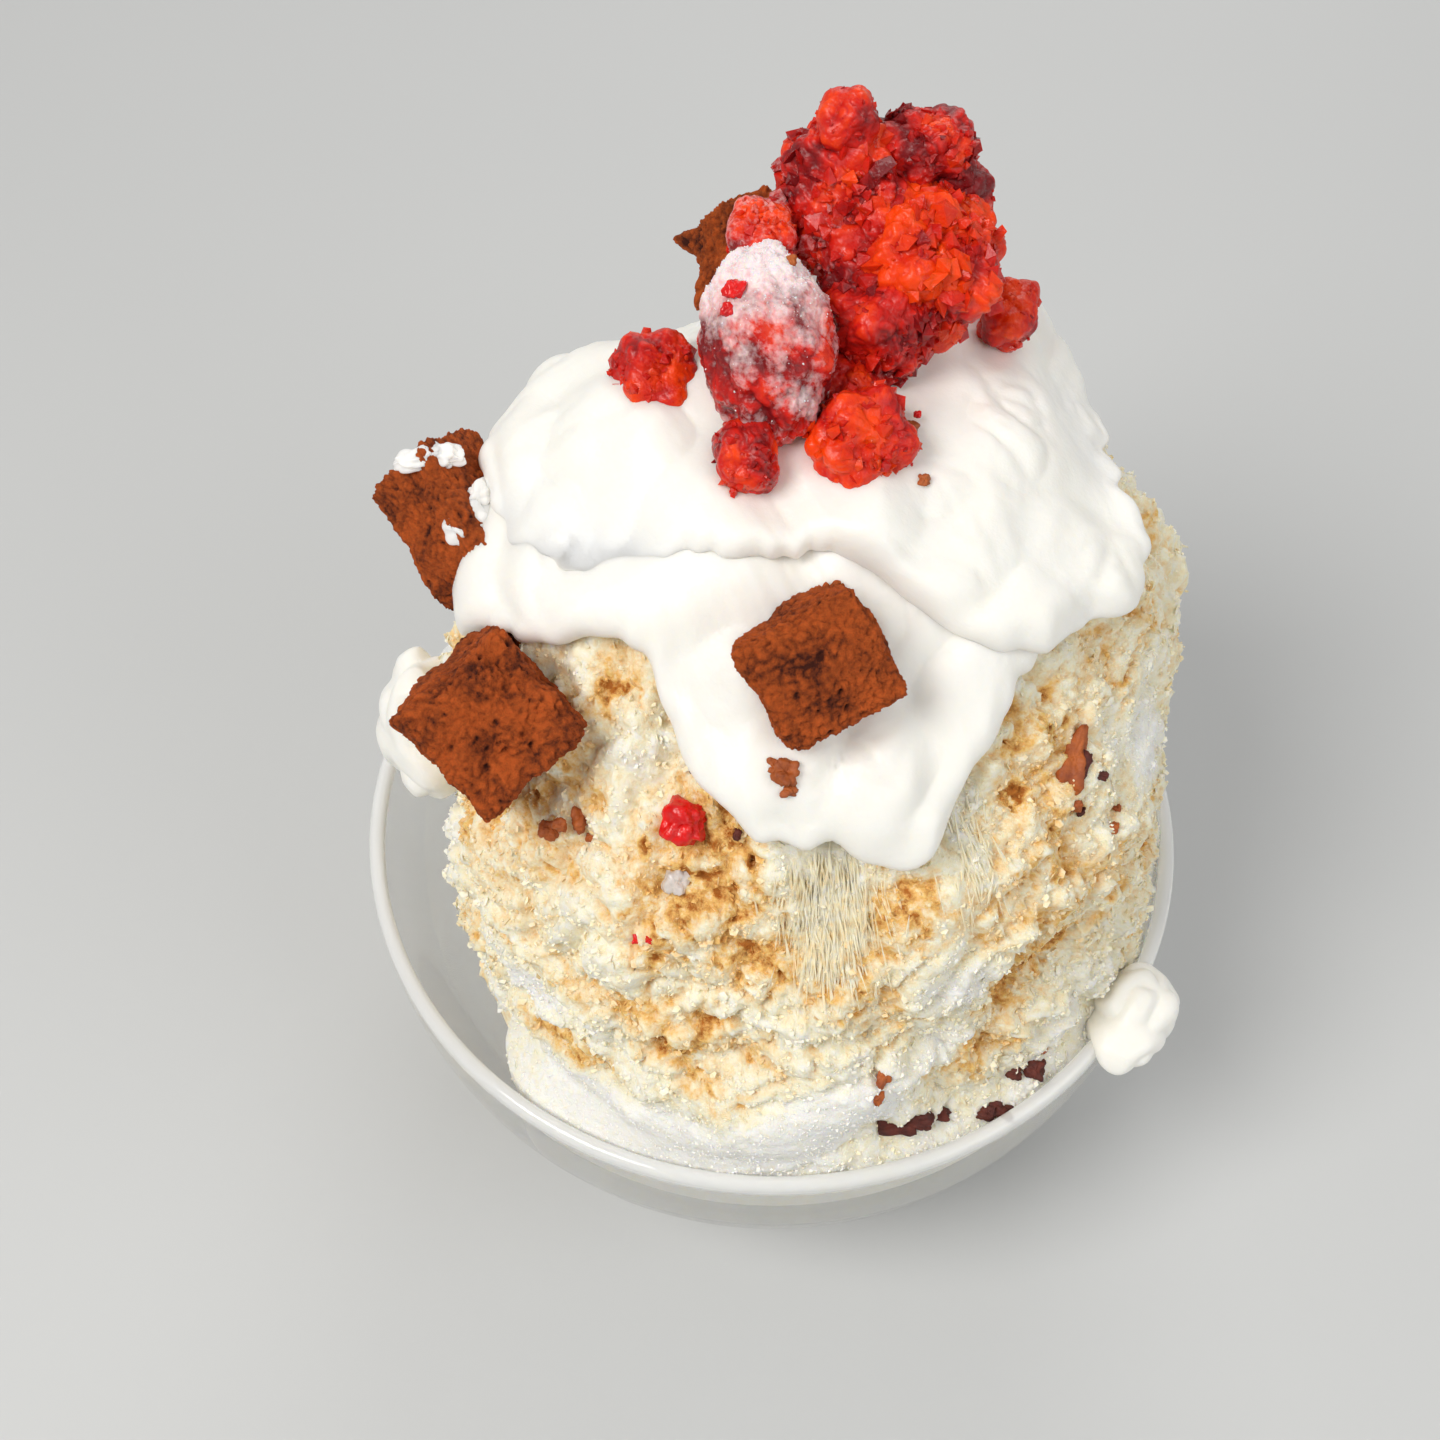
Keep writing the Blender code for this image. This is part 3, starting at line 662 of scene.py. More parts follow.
def closed_grid(name, points):
    """A closed mesh from rows of points that run round: the first and last rows are poles."""
    rows, columns = points.shape[:2]
    body = points[1:-1].reshape(-1, 3)
    top, bottom = len(body), len(body) + 1
    index = np.arange(len(body)).reshape(rows - 2, columns)
    after = np.roll(index, -1, axis=1)
    quads = np.stack([index[:-1], index[1:], after[1:], after[:-1]], -1).reshape(-1, 4)
    first = np.stack([np.full(columns, top), index[0], after[0]], -1)
    last = np.stack([np.full(columns, bottom), after[-1], index[-1]], -1)
    poles = np.stack([points[0].mean(0), points[-1].mean(0)])
    return new_mesh(name, np.concatenate([body, poles]), quads, np.concatenate([first, last]))


def grid_values(values):
    """Values on the rows of a closed grid, in the order of its mesh's vertices."""
    return np.concatenate([values[1:-1].ravel(), [values[0].mean(), values[-1].mean()]])


def set_values(mesh, name, values):
    layer = mesh.attributes.new(name, "FLOAT", "POINT")
    layer.data.foreach_set("value", np.asarray(values, dtype=np.float32).ravel())


def new_object(name, data):
    """A new object of the data, put in the scene."""
    made = bpy.data.objects.new(name, data)
    bpy.context.scene.collection.objects.link(made)
    return made


def add_piece(mesh, material, replaced=()):
    """Puts a finished mesh in the scene, riding on the one body."""
    piece = new_object(mesh.name, mesh)
    mesh.materials.append(material)
    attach(piece, "root")
    if replaced:
        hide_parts(*replaced)


def turned(points, turn):
    """Points turned by angles in degrees about X, then Y, then Z."""
    matrix = Euler([math.radians(angle) for angle in turn]).to_matrix()
    return points @ np.array(matrix).T


def placed(points, half, turn, middle):
    """Points scaled by the half sizes, then turned, then moved to the middle."""
    return turned(points * np.array(half), turn) + np.array(middle)


def sphere_grid(rows, columns):
    """Unit directions on rows from pole to pole."""
    polar, azimuth = np.meshgrid(
        np.linspace(0, 180, rows), np.linspace(0, 360, columns, endpoint=False), indexing="ij"
    )
    return directions(azimuth, polar)


def random_directions(rng, count):
    """Random unit directions, each from three normal numbers."""
    made = rng.normal(size=(count, 3))
    return made / np.linalg.norm(made, axis=1, keepdims=True)


def random_turns(rng, count):
    """Random rotation matrices, from unit quaternions of four normal numbers."""
    q = rng.normal(size=(count, 4))
    w, x, y, z = (q / np.linalg.norm(q, axis=1, keepdims=True)).T
    rows = [
        [1 - 2 * (y * y + z * z), 2 * (x * y - z * w), 2 * (x * z + y * w)],
        [2 * (x * y + z * w), 1 - 2 * (x * x + z * z), 2 * (y * z - x * w)],
        [2 * (x * z - y * w), 2 * (y * z + x * w), 1 - 2 * (x * x + y * y)],
    ]
    return np.moveaxis(np.array(rows), -1, 0)


def scattered(name, body, places, scales, turns, **values):
    """Many copies of a small body as one mesh: scale, then turn, then move, as whole arrays.

    Each further array holds one value for each copy, for the attribute that it is named after.
    """
    template, faces = body
    points = np.einsum("nij,nkj->nki", turns, template[None] * scales[:, None, :])
    points = points + places[:, None, :]
    steps = (np.arange(len(places)) * len(template))[:, None, None]
    mesh = new_mesh(name, points.reshape(-1, 3), (faces[None] + steps).reshape(-1, faces.shape[1]))
    mesh.shade_flat()
    for attribute, amounts in values.items():
        set_values(mesh, attribute, np.repeat(amounts, len(template)))
    return mesh


def double_pyramid(sides, top=1.0):
    """A ring of points with a point above and one below, and its triangles facing outwards."""
    turn = np.arange(sides) * math.tau / sides
    ring = np.stack([np.cos(turn), np.sin(turn), np.zeros(sides)], -1)
    points = np.concatenate([ring, [[0, 0, top], [0, 0, -top]]])
    here = np.arange(sides)
    after = (here + 1) % sides
    above = np.stack([here, after, np.full(sides, sides)], -1)
    below = np.stack([after, here, np.full(sides, sides + 1)], -1)
    return points, np.concatenate([above, below])


def shader_of(name, values):
    """A new material with these values on its shader's sockets, its node tree and its shader."""
    material = bpy.data.materials.new(name)
    material.use_nodes = True
    shader = material.node_tree.nodes["Principled BSDF"]
    for socket, value in values.items():
        shader.inputs[socket].default_value = value
    return material, material.node_tree, shader


def colour(value):
    return (*value, 1.0)


def noise_node(tree, scale, detail=4, roughness=0.6, stretch=(1, 1, 1)):
    """Noise on the piece's object coordinates, which are metres."""
    place = tree.nodes.new("ShaderNodeTexCoord")
    mapping = tree.nodes.new("ShaderNodeMapping")
    mapping.inputs["Scale"].default_value = stretch
    texture = tree.nodes.new("ShaderNodeTexNoise")
    texture.inputs["Scale"].default_value = scale
    texture.inputs["Detail"].default_value = detail
    texture.inputs["Roughness"].default_value = roughness
    tree.links.new(place.outputs["Object"], mapping.inputs["Vector"])
    tree.links.new(mapping.outputs["Vector"], texture.inputs["Vector"])
    return texture.outputs["Fac"]


def attribute_node(tree, name):
    found = tree.nodes.new("ShaderNodeAttribute")
    found.attribute_name = name
    return found.outputs["Fac"]


def math_node(tree, operation, first, second, clamp=False):
    """The operation on two sockets or numbers."""
    made = tree.nodes.new("ShaderNodeMath")
    made.operation = operation
    made.use_clamp = clamp
    for socket, value in zip(made.inputs, (first, second)):
        if isinstance(value, (int, float)):
            socket.default_value = value
        else:
            tree.links.new(value, socket)
    return made.outputs[0]


def linear_node(tree, value, factor, offset, clamp=False):
    """The value x factor + offset."""
    product = math_node(tree, "MULTIPLY", value, factor)
    return math_node(tree, "ADD", product, offset, clamp)


def mottled_node(tree, name, texture, strength, offset):
    """The named attribute + the texture x strength + offset, kept from 0 to 1."""
    mottle = math_node(tree, "MULTIPLY", texture, strength)
    total = math_node(tree, "ADD", attribute_node(tree, name), mottle)
    return math_node(tree, "ADD", total, offset, clamp=True)


def ramp_node(tree, factor, stops):
    """Colours along a ramp, as (place, colour)."""
    made = tree.nodes.new("ShaderNodeValToRGB")
    points = made.color_ramp.elements
    while len(points) < len(stops):
        points.new(0.5)
    for point, (place, value) in zip(points, stops):
        point.position = place
        point.color = colour(value)
    tree.links.new(factor, made.inputs["Fac"])
    return made.outputs["Color"]


def mix_node(tree, factor, first, second):
    """A mix of two colours, each a socket or a value."""
    made = tree.nodes.new("ShaderNodeMix")
    made.data_type = "RGBA"
    tree.links.new(factor, made.inputs["Factor"])
    for name, value in (("A", first), ("B", second)):
        socket = next(s for s in made.inputs if s.name == name and s.type == "RGBA")
        if isinstance(value, bpy.types.NodeSocket):
            tree.links.new(value, socket)
        else:
            socket.default_value = colour(value)
    return next(s for s in made.outputs if s.type == "RGBA")


def bump_node(tree, shader, height, distance, strength=1.0):
    made = tree.nodes.new("ShaderNodeBump")
    made.inputs["Distance"].default_value = distance
    made.inputs["Strength"].default_value = strength
    tree.links.new(height, made.inputs["Height"])
    tree.links.new(made.outputs["Normal"], shader.inputs["Normal"])


def ice_material(colours, name, depth):
    """Snow white through cream and amber to burnt syrup, by the syrup attribute and fine noise.

    The depth is how far light spreads inside: thin loose pieces would lose it and turn grey.
    """
    material, tree, shader = shader_of(
        name,
        {
            "Roughness": 0.62,
            "IOR": 1.31,
            "Subsurface Weight": 0.6,
            "Subsurface Scale": depth,
            "Subsurface Radius": (1.0, 0.85, 0.6),
            "Specular IOR Level": 0.45,
        },
    )
    fine = noise_node(tree, 900, 5)
    mottled = linear_node(tree, fine, 0.5, -0.24)
    patchy = linear_node(tree, noise_node(tree, 400, 5, 0.7), 3.2, -0.60)
    patchy = math_node(tree, "MINIMUM", math_node(tree, "MAXIMUM", patchy, 0.45), 1.6)
    soaked = math_node(tree, "MULTIPLY", attribute_node(tree, "syrup"), patchy)
    amount = math_node(tree, "ADD", soaked, mottled, clamp=True)
    stops = (
        (0.0, colours.snow),
        (0.20, colours.soaked),
        (0.56, colours.amber),
        (0.90, colours.burnt),
    )
    tree.links.new(ramp_node(tree, amount, stops), shader.inputs["Base Color"])
    bump_node(tree, shader, fine, 0.4 * depth, 0.8)
    return material


def cream_material(colours):
    material, tree, shader = shader_of(
        "cream",
        {
            "Roughness": 0.42,
            "Subsurface Weight": 0.6,
            "Subsurface Scale": 0.003,
            "Subsurface Radius": (1.0, 0.9, 0.75),
            "Specular IOR Level": 0.4,
        },
    )
    shade = noise_node(tree, 70, 3)
    warm = tuple(c * f for c, f in zip(colours.cream, (1.0, 0.985, 0.94)))
    base = mix_node(tree, shade, colours.cream, warm)
    tree.links.new(base, shader.inputs["Base Color"])
    bump_node(tree, shader, noise_node(tree, 420, 3), 0.0003, 0.5)
    return material


def glass_material():
    """Clear glass with the faintest film, which roughens its gloss here and there, and a painted white
    highlight on the band of its rim.
    """
    material, tree, shader = shader_of(
        "glass",
        {
            "Base Color": (0.99, 1.0, 0.995, 1),
            "IOR": 1.46,
        },
    )
    film = ramp_node(tree, noise_node(tree, 60, 3), ((0.35, (0.01,) * 3), (0.75, (0.06,) * 3)))
    tree.links.new(film, shader.inputs["Roughness"])
    place = tree.nodes.new("ShaderNodeTexCoord")
    split = tree.nodes.new("ShaderNodeSeparateXYZ")
    tree.links.new(place.outputs["Object"], split.inputs["Vector"])
    # Painted highlight: the band at the rim is made solid and less clear, so it shows white like a
    # reflection
    rise = math_node(tree, "ADD", split.outputs["Z"], RIM_HIGHLIGHT_BAND - BOWL_HEIGHT)
    rim = math_node(tree, "MULTIPLY", rise, 1000, clamp=True)
    rim_highlight_alpha = linear_node(tree, rim, 0.5, 0.5, clamp=True)
    tree.links.new(rim_highlight_alpha, shader.inputs["Alpha"])
    clear = linear_node(tree, rim, -0.45, 0.88)
    tree.links.new(clear, shader.inputs["Transmission Weight"])
    return material


def flesh_material(colours):
    """Wet fruit flesh: painted shade in its creases and on its lower side, painted orange light on its
    tops and upper side, with each piece's own tone, and white where frost lies.
    """
    material, tree, shader = shader_of(
        "raspberry",
        {
            "Subsurface Weight": 0.35,
            "Subsurface Scale": 0.0016,
            "Subsurface Radius": (1.0, 0.18, 0.06),
            "Coat Weight": 0.15,
            "Coat Roughness": 0.08,
            "Specular IOR Level": 0.35,
            "IOR": 1.4,
        },
    )
    # Painted light and shade: the lit attribute runs the flesh from shaded dark red through red to lit
    # orange
    lit = mottled_node(tree, "lit", noise_node(tree, 230, 4), 1.1, -0.55)
    stops = ((0.05, colours.flesh_shaded), (0.42, colours.flesh), (0.92, colours.flesh_lit))
    base = ramp_node(tree, lit, stops)
    rime = noise_node(tree, 1300, 4)
    frost = mottled_node(tree, "frost", rime, 1.2, -0.6)
    tree.links.new(mix_node(tree, frost, base, colours.frost), shader.inputs["Base Color"])
    gloss = ramp_node(tree, frost, ((0.1, (0.22,) * 3), (0.6, (0.75,) * 3)))
    tree.links.new(gloss, shader.inputs["Roughness"])
    bump_node(tree, shader, rime, 0.0004, 0.7)
    return material


def cake_material(colours):
    """Rust-brown crumb, darker in its pores: painted shade in its pores and creases, and a painted
    highlight on the tops of its crumbs.
    """
    material, tree, shader = shader_of(
        "cake",
        {
            "Roughness": 0.85,
            "Specular IOR Level": 0.25,
            "Subsurface Weight": 0.08,
            "Subsurface Scale": 0.001,
        },
    )
    fine = noise_node(tree, 1000, 6, 0.72)
    shade = mottled_node(tree, "shade", fine, 1.9, -0.88)
    # Painted highlight: a lighter crumb where the painted shade is least
    lit = tuple(min(1.0, c * 1.5) for c in colours.crumb)
    stops = ((0.0, lit), (0.4, colours.crumb), (0.95, colours.crumb_dark))
    tree.links.new(ramp_node(tree, shade, stops), shader.inputs["Base Color"])
    bump_node(tree, shader, fine, 0.0009, 1.0)
    return material


def chip_material(name, base, dark, values):
    """A small chip's colour, mottled towards a darker one."""
    material, tree, shader = shader_of(name, values)
    mottle = noise_node(tree, 500, 4)
    shade = ramp_node(tree, mottle, ((0.35, base), (0.75, dark)))
    tree.links.new(shade, shader.inputs["Base Color"])
    bump_node(tree, shader, mottle, 0.0004)
    return material


def superellipse(wide, tall, power, steps):
    """Quarter of a superellipse as (radius, depth): (wide cos^(2/p) t, tall sin^(2/p) t)."""
    t = np.linspace(0, math.pi / 2, steps + 1)
    flat, down = np.clip(np.cos(t), 0, 1), np.sin(t)
    return np.stack([wide * flat ** (2 / power), tall * down ** (2 / power)], -1)


def build_bowl():
    """A turned profile: quarter ellipse outside, half circle at the rim, superellipse inside."""
    half = GLASS / 2
    top = BOWL_HEIGHT - half
    turn = np.linspace(0, math.pi / 2, 40)
    outside = np.stack(
        [
            FOOT_RADIUS + (RIM_RADIUS - FOOT_RADIUS) * np.cos(turn),
            top - (top - FOOT_HEIGHT) * np.sin(turn),
        ],
        -1,
    )
    over = np.linspace(math.pi, 0, 14)[1:-1]
    rim = np.stack([RIM_RADIUS - half + half * np.cos(over), top + half * np.sin(over)], -1)
    inside = superellipse(CAVITY_RADIUS, CAVITY_DEPTH - half, CAVITY_POWER, 40)
    cavity = np.stack([inside[:, 0], top - inside[:, 1]], -1)[::-1]
    edge = np.linspace(0, math.pi / 2, 6)[1:]
    foot = FOOT_CORNER * np.stack([np.cos(edge), -np.sin(edge)], -1)
    foot += (FOOT_RADIUS - FOOT_CORNER, FOOT_CORNER)
    above_foot = [[FOOT_RADIUS, FOOT_CORNER * 1.5]]
    profile = np.concatenate([cavity, rim, outside, above_foot, foot, [[0, 0]]])
    profile[0, 0] = 0
    around = np.linspace(0, math.tau, BOWL_SEGMENTS, endpoint=False)
    radius, height = profile[:, :1], profile[:, 1:]
    points = np.stack([radius * np.cos(around), radius * np.sin(around), height + 0 * around], -1)
    add_piece(closed_grid("bowl_glass", points), glass_material(), ("bowl",))


def front_dense_azimuths(count):
    """Azimuths of a closed ring that lie closer on the viewer's side: a line minus a sine."""
    w = np.arange(count) / count - 0.5
    return -90 + 360 * w - 20 * np.sin(math.tau * w)


def build_ice(shape, material):
    """The heap's fine surface, with its rows closest where the ice shows."""
    rows = np.concatenate(
        [np.linspace(0, 21, 5)[:-1], np.linspace(21, 101, 192), np.linspace(101, 180, 31)[1:]]
    )
    polar, azimuth = np.meshgrid(rows, front_dense_azimuths(ICE_SEGMENTS), indexing="ij")
    points, syrup, _ = ice_surface(azimuth, polar, shape)
    mesh = closed_grid("ice_heap", points)
    set_values(mesh, "syrup", grid_values(syrup))
    add_piece(mesh, material, ("ice",))


def heap_scatter(rng, count, lowest, highest):
    """Random places on the heap: even in cos(polar), with more than half on the viewer's side."""
    bottom, top = np.cos(np.radians(highest)), np.cos(np.radians(lowest))
    polar = np.degrees(np.arccos(rng.uniform(bottom, top, count)))
    side = np.where(rng.random(count) < FRONT_SHARE, -90, 90)
    return side + rng.uniform(-90, 90, count), polar


def build_flakes(shape, material):
    """Thin five-sided plates at every tilt, on the rough parts of the ice."""
    rng = np.random.default_rng(41)
    azimuth, polar = heap_scatter(rng, shape.flakes, 22, 93)
    places, syrup, rough = ice_surface(azimuth, polar, shape)
    size = rng.uniform(0.0003, 0.0008, (len(polar), 1)) * (0.35 + 0.65 * rough[:, None])
    scales = size * rng.uniform(0.6, 1.3, (len(polar), 3))
    turns = random_turns(rng, len(polar))
    syrup = np.clip(0.85 * syrup, 0, 0.55)
    plate = double_pyramid(5, 0.16)
    mesh = scattered("ice_flakes", plate, places, scales, turns, syrup=syrup)
    add_piece(mesh, material)


def build_grains(shape, material):
    """Small eight-faced grains, which make the ice sparkle and look loose."""
    rng = np.random.default_rng(43)
    azimuth, polar = heap_scatter(rng, shape.grains, 22, 94)
    places, syrup, rough = ice_surface(azimuth, polar, shape)
    size = rng.uniform(0.00018, 0.00048, (len(polar), 1)) * (0.5 + 0.5 * rough[:, None])
    scales = size * rng.uniform(0.7, 1.3, (len(polar), 3))
    turns = random_turns(rng, len(polar))
    syrup = np.clip(syrup, 0, 0.7)
    mesh = scattered("ice_grains", double_pyramid(4), places, scales, turns, syrup=syrup)
    add_piece(mesh, material)


def build_fibres(shape, material):
    """Three-sided needles that run down the heap in the fibre patches."""
    rng = np.random.default_rng(47)
    count = shape.fibres
    chosen = rng.choice(len(FIBRE_PATCHES), count, p=FIBRE_SHARES)
    patch = np.array(FIBRE_PATCHES)[chosen]
    polar = patch[:, 1] + patch[:, 3] * rng.normal(0, 0.62, count)
    azimuth = patch[:, 0] + patch[:, 2] * rng.normal(0, 0.62, count) / np.sin(np.radians(polar))
    places, syrup, _ = ice_surface(azimuth, polar, shape)
    below, _, _ = ice_surface(azimuth, polar + 1.5, shape)
    along = below - places + rng.normal(0, 0.0002, (count, 3))
    along /= np.linalg.norm(along, axis=1, keepdims=True)
    outwards = directions(azimuth, polar)
    across = np.cross(outwards, along)
    across /= np.linalg.norm(across, axis=1, keepdims=True)
    turns = np.stack([across, np.cross(along, across), along], -1)
    length = rng.uniform(0.0022, 0.0065, count)
    thick = rng.uniform(0.00018, 0.00040, count)
    places = places + outwards * rng.uniform(-0.0002, 0, (count, 1))
    scales = np.stack([thick, thick, length], -1)
    syrup = np.clip(0.14 + 0.2 * syrup, 0, 0.24)
    mesh = scattered("ice_fibres", double_pyramid(3), places, scales, turns, syrup=syrup)
    add_piece(mesh, material)


def cream_layer(reach, thickness, table, lift, rows, columns, shape):
    """A cushion on the heap with a rounded lip.

    From the middle (share 0) to the lip (share 1 - e) the height over the ice is the thickness,
    then the lip turns under on a half ellipse of width e down to `lift`, and the underside runs
    back to the middle. The share of the reach at that azimuth gives the polar angle.
    """
    turn = np.linspace(0, math.pi, LIP_ROWS)
    flat = 1 - CREAM_LIP
    back = np.linspace(0, 1, UNDER_ROWS + 1)[1:]
    share = np.concatenate(
        [np.linspace(0, flat, rows)[:-1], flat + CREAM_LIP * np.sin(turn), flat * (1 - back)]
    )
    top = np.concatenate([np.ones(rows - 1), (1 + np.cos(turn)) / 2, np.zeros(UNDER_ROWS)])
    under = np.concatenate([np.zeros(rows - 1 + LIP_ROWS), back])
    around = np.linspace(-180, 180, columns, endpoint=False)
    share, azimuth = np.meshgrid(share, around, indexing="ij")
    top = np.repeat(top[:, None], columns, 1)
    under = np.repeat(under[:, None], columns, 1)
    edge = directions(azimuth, np.full(azimuth.shape, 60.0)) * 0.07
    ragged = 1 + 0.040 * noise(edge, 0.016, 51) + 0.035 * noise(edge, 0.006, 52)
    down = share * round_curve(reach, azimuth) * ragged
    spot = directions(azimuth, down) * 0.1
    deep = thickness + features(table, azimuth, down)
    folds = clumps(spot + 0.004 * noise_shift(spot, 0.02, 53), 0.019, 56)
    deep = deep + shape.fold_height * (folds - 0.55) * np.clip(share * 3, 0, 1)
    deep = deep + 0.3 * shape.fold_height * noise(spot, 0.008, 57)
    crisp = np.clip(1.5 * noise(spot, 0.018, 67) + 0.5, 0, 1)
    deep = deep + 0.55 * shape.fold_height * (clumps(spot, 0.0085, 68) - 0.6) * crisp
    deep = deep + 0.14 * shape.fold_height * (clumps(spot, 0.0034, 69) - 0.5) * crisp**2
    strokes = spot * np.array((1.0, 0.12, 0.12)) + spot[..., 1:2] * np.array((0.6, 0, 0))
    deep = deep + 0.00022 * noise(strokes, 0.0016, 58) * np.clip(noise(spot, 0.02, 59) + 0.3, 0, 1)
    base = heap_distance(azimuth, down)
    outwards = lift + (deep - lift) * top - (lift + CREAM_SUNK) * under
    return on_heap(azimuth, down, base + outwards)


def build_cream(shape, material):
    """The thin tongue that runs down the front, and the thick cap that overhangs it."""
    tongue = cream_layer(TONGUE_REACH, TONGUE_THICKNESS, (), TONGUE_LIFT, 120, 300, shape)
    add_piece(closed_grid("cream_tongue", tongue), material, ("cream",))
    cap = cream_layer(CAP_REACH, CAP_THICKNESS, CAP_FEATURES, CAP_LIFT, 130, 360, shape)
    add_piece(closed_grid("cream_cap", cap), material, ("cream",))


def build_dollops(material):
    """Soft lumps: eggs with a swirl of low folds, radius x (1 + noise + folds)."""
    smears = [(f"smear_{i}", *smear) for i, smear in enumerate(SMEARS)]
    for name, middle, half, turn in (*DOLLOPS, *smears):
        sphere = sphere_grid(70, 120)
        spot = sphere + np.array(middle) * 40
        swell = 1 + 0.16 * noise(spot, 0.9, 7) + 0.14 * (clumps(spot, 0.8, 61) - 0.5)
        if name.startswith("smear"):
            swell += 0.35 * noise(spot, 0.5, 66)
        points = placed(sphere * swell[..., None], half, turn, middle)
        replaced = () if name.startswith("smear") else (name,)
        add_piece(closed_grid(name + "_soft", points), material, replaced)


def cube_grid(cells):
    """A cube from -1 to 1 with a grid of cells on each face, its doubles merged."""
    bm = bmesh.new()
    bmesh.ops.create_cube(bm, size=2)
    bmesh.ops.subdivide_edges(bm, edges=bm.edges, cuts=cells - 1, use_grid_fill=True)
    mesh = bpy.data.meshes.new("cube")
    bm.to_mesh(mesh)
    bm.free()
    points = np.empty(len(mesh.vertices) * 3)
    mesh.vertices.foreach_get("co", points)
    return mesh, points.reshape(-1, 3)


def build_cakes(shape, material):
    """Torn cubes: a cube blunted as (x^12 + y^12 + z^12)^(-1/12), with lumps, crumbs and pores."""
    for name, middle, size, turn in CAKES:
        mesh, cube = cube_grid(64)
        half = np.array(size) / 2
        points = cube * blunted(cube, 12)[:, None] * half
        spot = points + np.array(middle)
        torn = 0.0007 * noise(spot, 0.008, 8) + 0.0006 * noise(spot, 0.0045, 9)
        bits = clumps(spot, 0.0014, 62)
        crumbs = shape.crumb_height * (0.5 * bits + 0.4 * clumps(spot, 0.0007, 63) - 0.45)
        holes = pores(spot, 0.0017, 64, 0.08, 0.50)
        torn = torn * RAGGED.get(name, 1) + crumbs - 0.0005 * holes
        points = points * (1 + torn / half.mean())[:, None]
        world = turned(points, turn) + np.array(middle)
        mesh.vertices.foreach_set("co", world.astype(np.float32).ravel())
        mesh.name = name + "_crumb"
        mesh.shade_smooth()
        # Painted shade: darker in the pores and in the creases between crumbs, lighter on the crumbs'
        # tops, with random tone
        shade = 0.26 + 0.5 * holes + 0.4 * (0.6 - bits) + 0.50 * noise(spot, 0.005, 65)
        set_values(mesh, "shade", np.clip(shade, 0, 1))
        mesh.update()
        add_piece(mesh, material, (name,))


def spiral_directions(count):
    """Evenly spread unit directions, on a spiral that turns by the golden angle."""
    step = np.arange(count)
    height = 1 - (2 * step + 1) / count
    turn = step * math.pi * (3 - math.sqrt(5))
    flat = np.sqrt(1 - height**2)
    return np.stack([flat * np.cos(turn), flat * np.sin(turn), height], -1)


def drupelets(sphere, count):
    """How far out each direction reaches on a unit ball covered with `count` smaller balls.

    A ball of radius r at c is met by direction d at d.c + sqrt(r^2 - |c|^2 + (d.c)^2).
    """
    rng = np.random.default_rng(count)
    radius = 1.95 / math.sqrt(count)
    balls = spiral_directions(count) * (1 - radius) * rng.uniform(0.88, 1.04, (count, 1))
    along = sphere @ balls.T
    inside = radius**2 - (balls**2).sum(1) + along**2
    reach = np.where(inside > 0, along + np.sqrt(np.maximum(inside, 0)), 0)
    return np.maximum(reach.max(-1), 1 - 0.8 * radius)


def build_shards(shape, material):
    """Small torn bits of frozen flesh at every tilt on the broken pieces, one mesh for all."""
    rng = np.random.default_rng(85)
    places, sizes, lit, frost = [], [], [], []
    for name, middle, half, turn, count, tint in RASPBERRIES:
        if "frosted" in name:
            continue
        number = int(shape.shards * np.prod(half) / SHARDS_HALF**3)
        sphere = random_directions(rng, number)
        reach = (0.20 + 0.80 * drupelets(sphere, count)) * rng.uniform(0.85, 0.99, number)
        reach = reach * (0.34 + 0.6 * blunted(sphere, 4))
        spot = placed(sphere * reach[:, None], half, turn, middle)
        places.append(spot)
        size = 0.0004 + 0.0014 * rng.random((number, 1)) ** 2
        size = size * np.mean(half) / FULL_SHARDS_HALF
        sizes.append(size * rng.uniform(0.5, 1.3, (number, 3)))
        lit.append(0.40 + 0.28 * tint + rng.normal(0, 0.12, number) + 0.50 * noise(spot, 0.006, 77))
        frost.append(FROSTY.get(name, 0) - 0.34 + rng.normal(0, 0.12, number))
    places, sizes, lit, frost = (np.concatenate(rows) for rows in (places, sizes, lit, frost))
    turns = random_turns(rng, len(places))
    bit = double_pyramid(5, 0.7)
    mesh = scattered("raspberry_shards", bit, places, sizes, turns, lit=lit, frost=frost)
    add_piece(mesh, material)


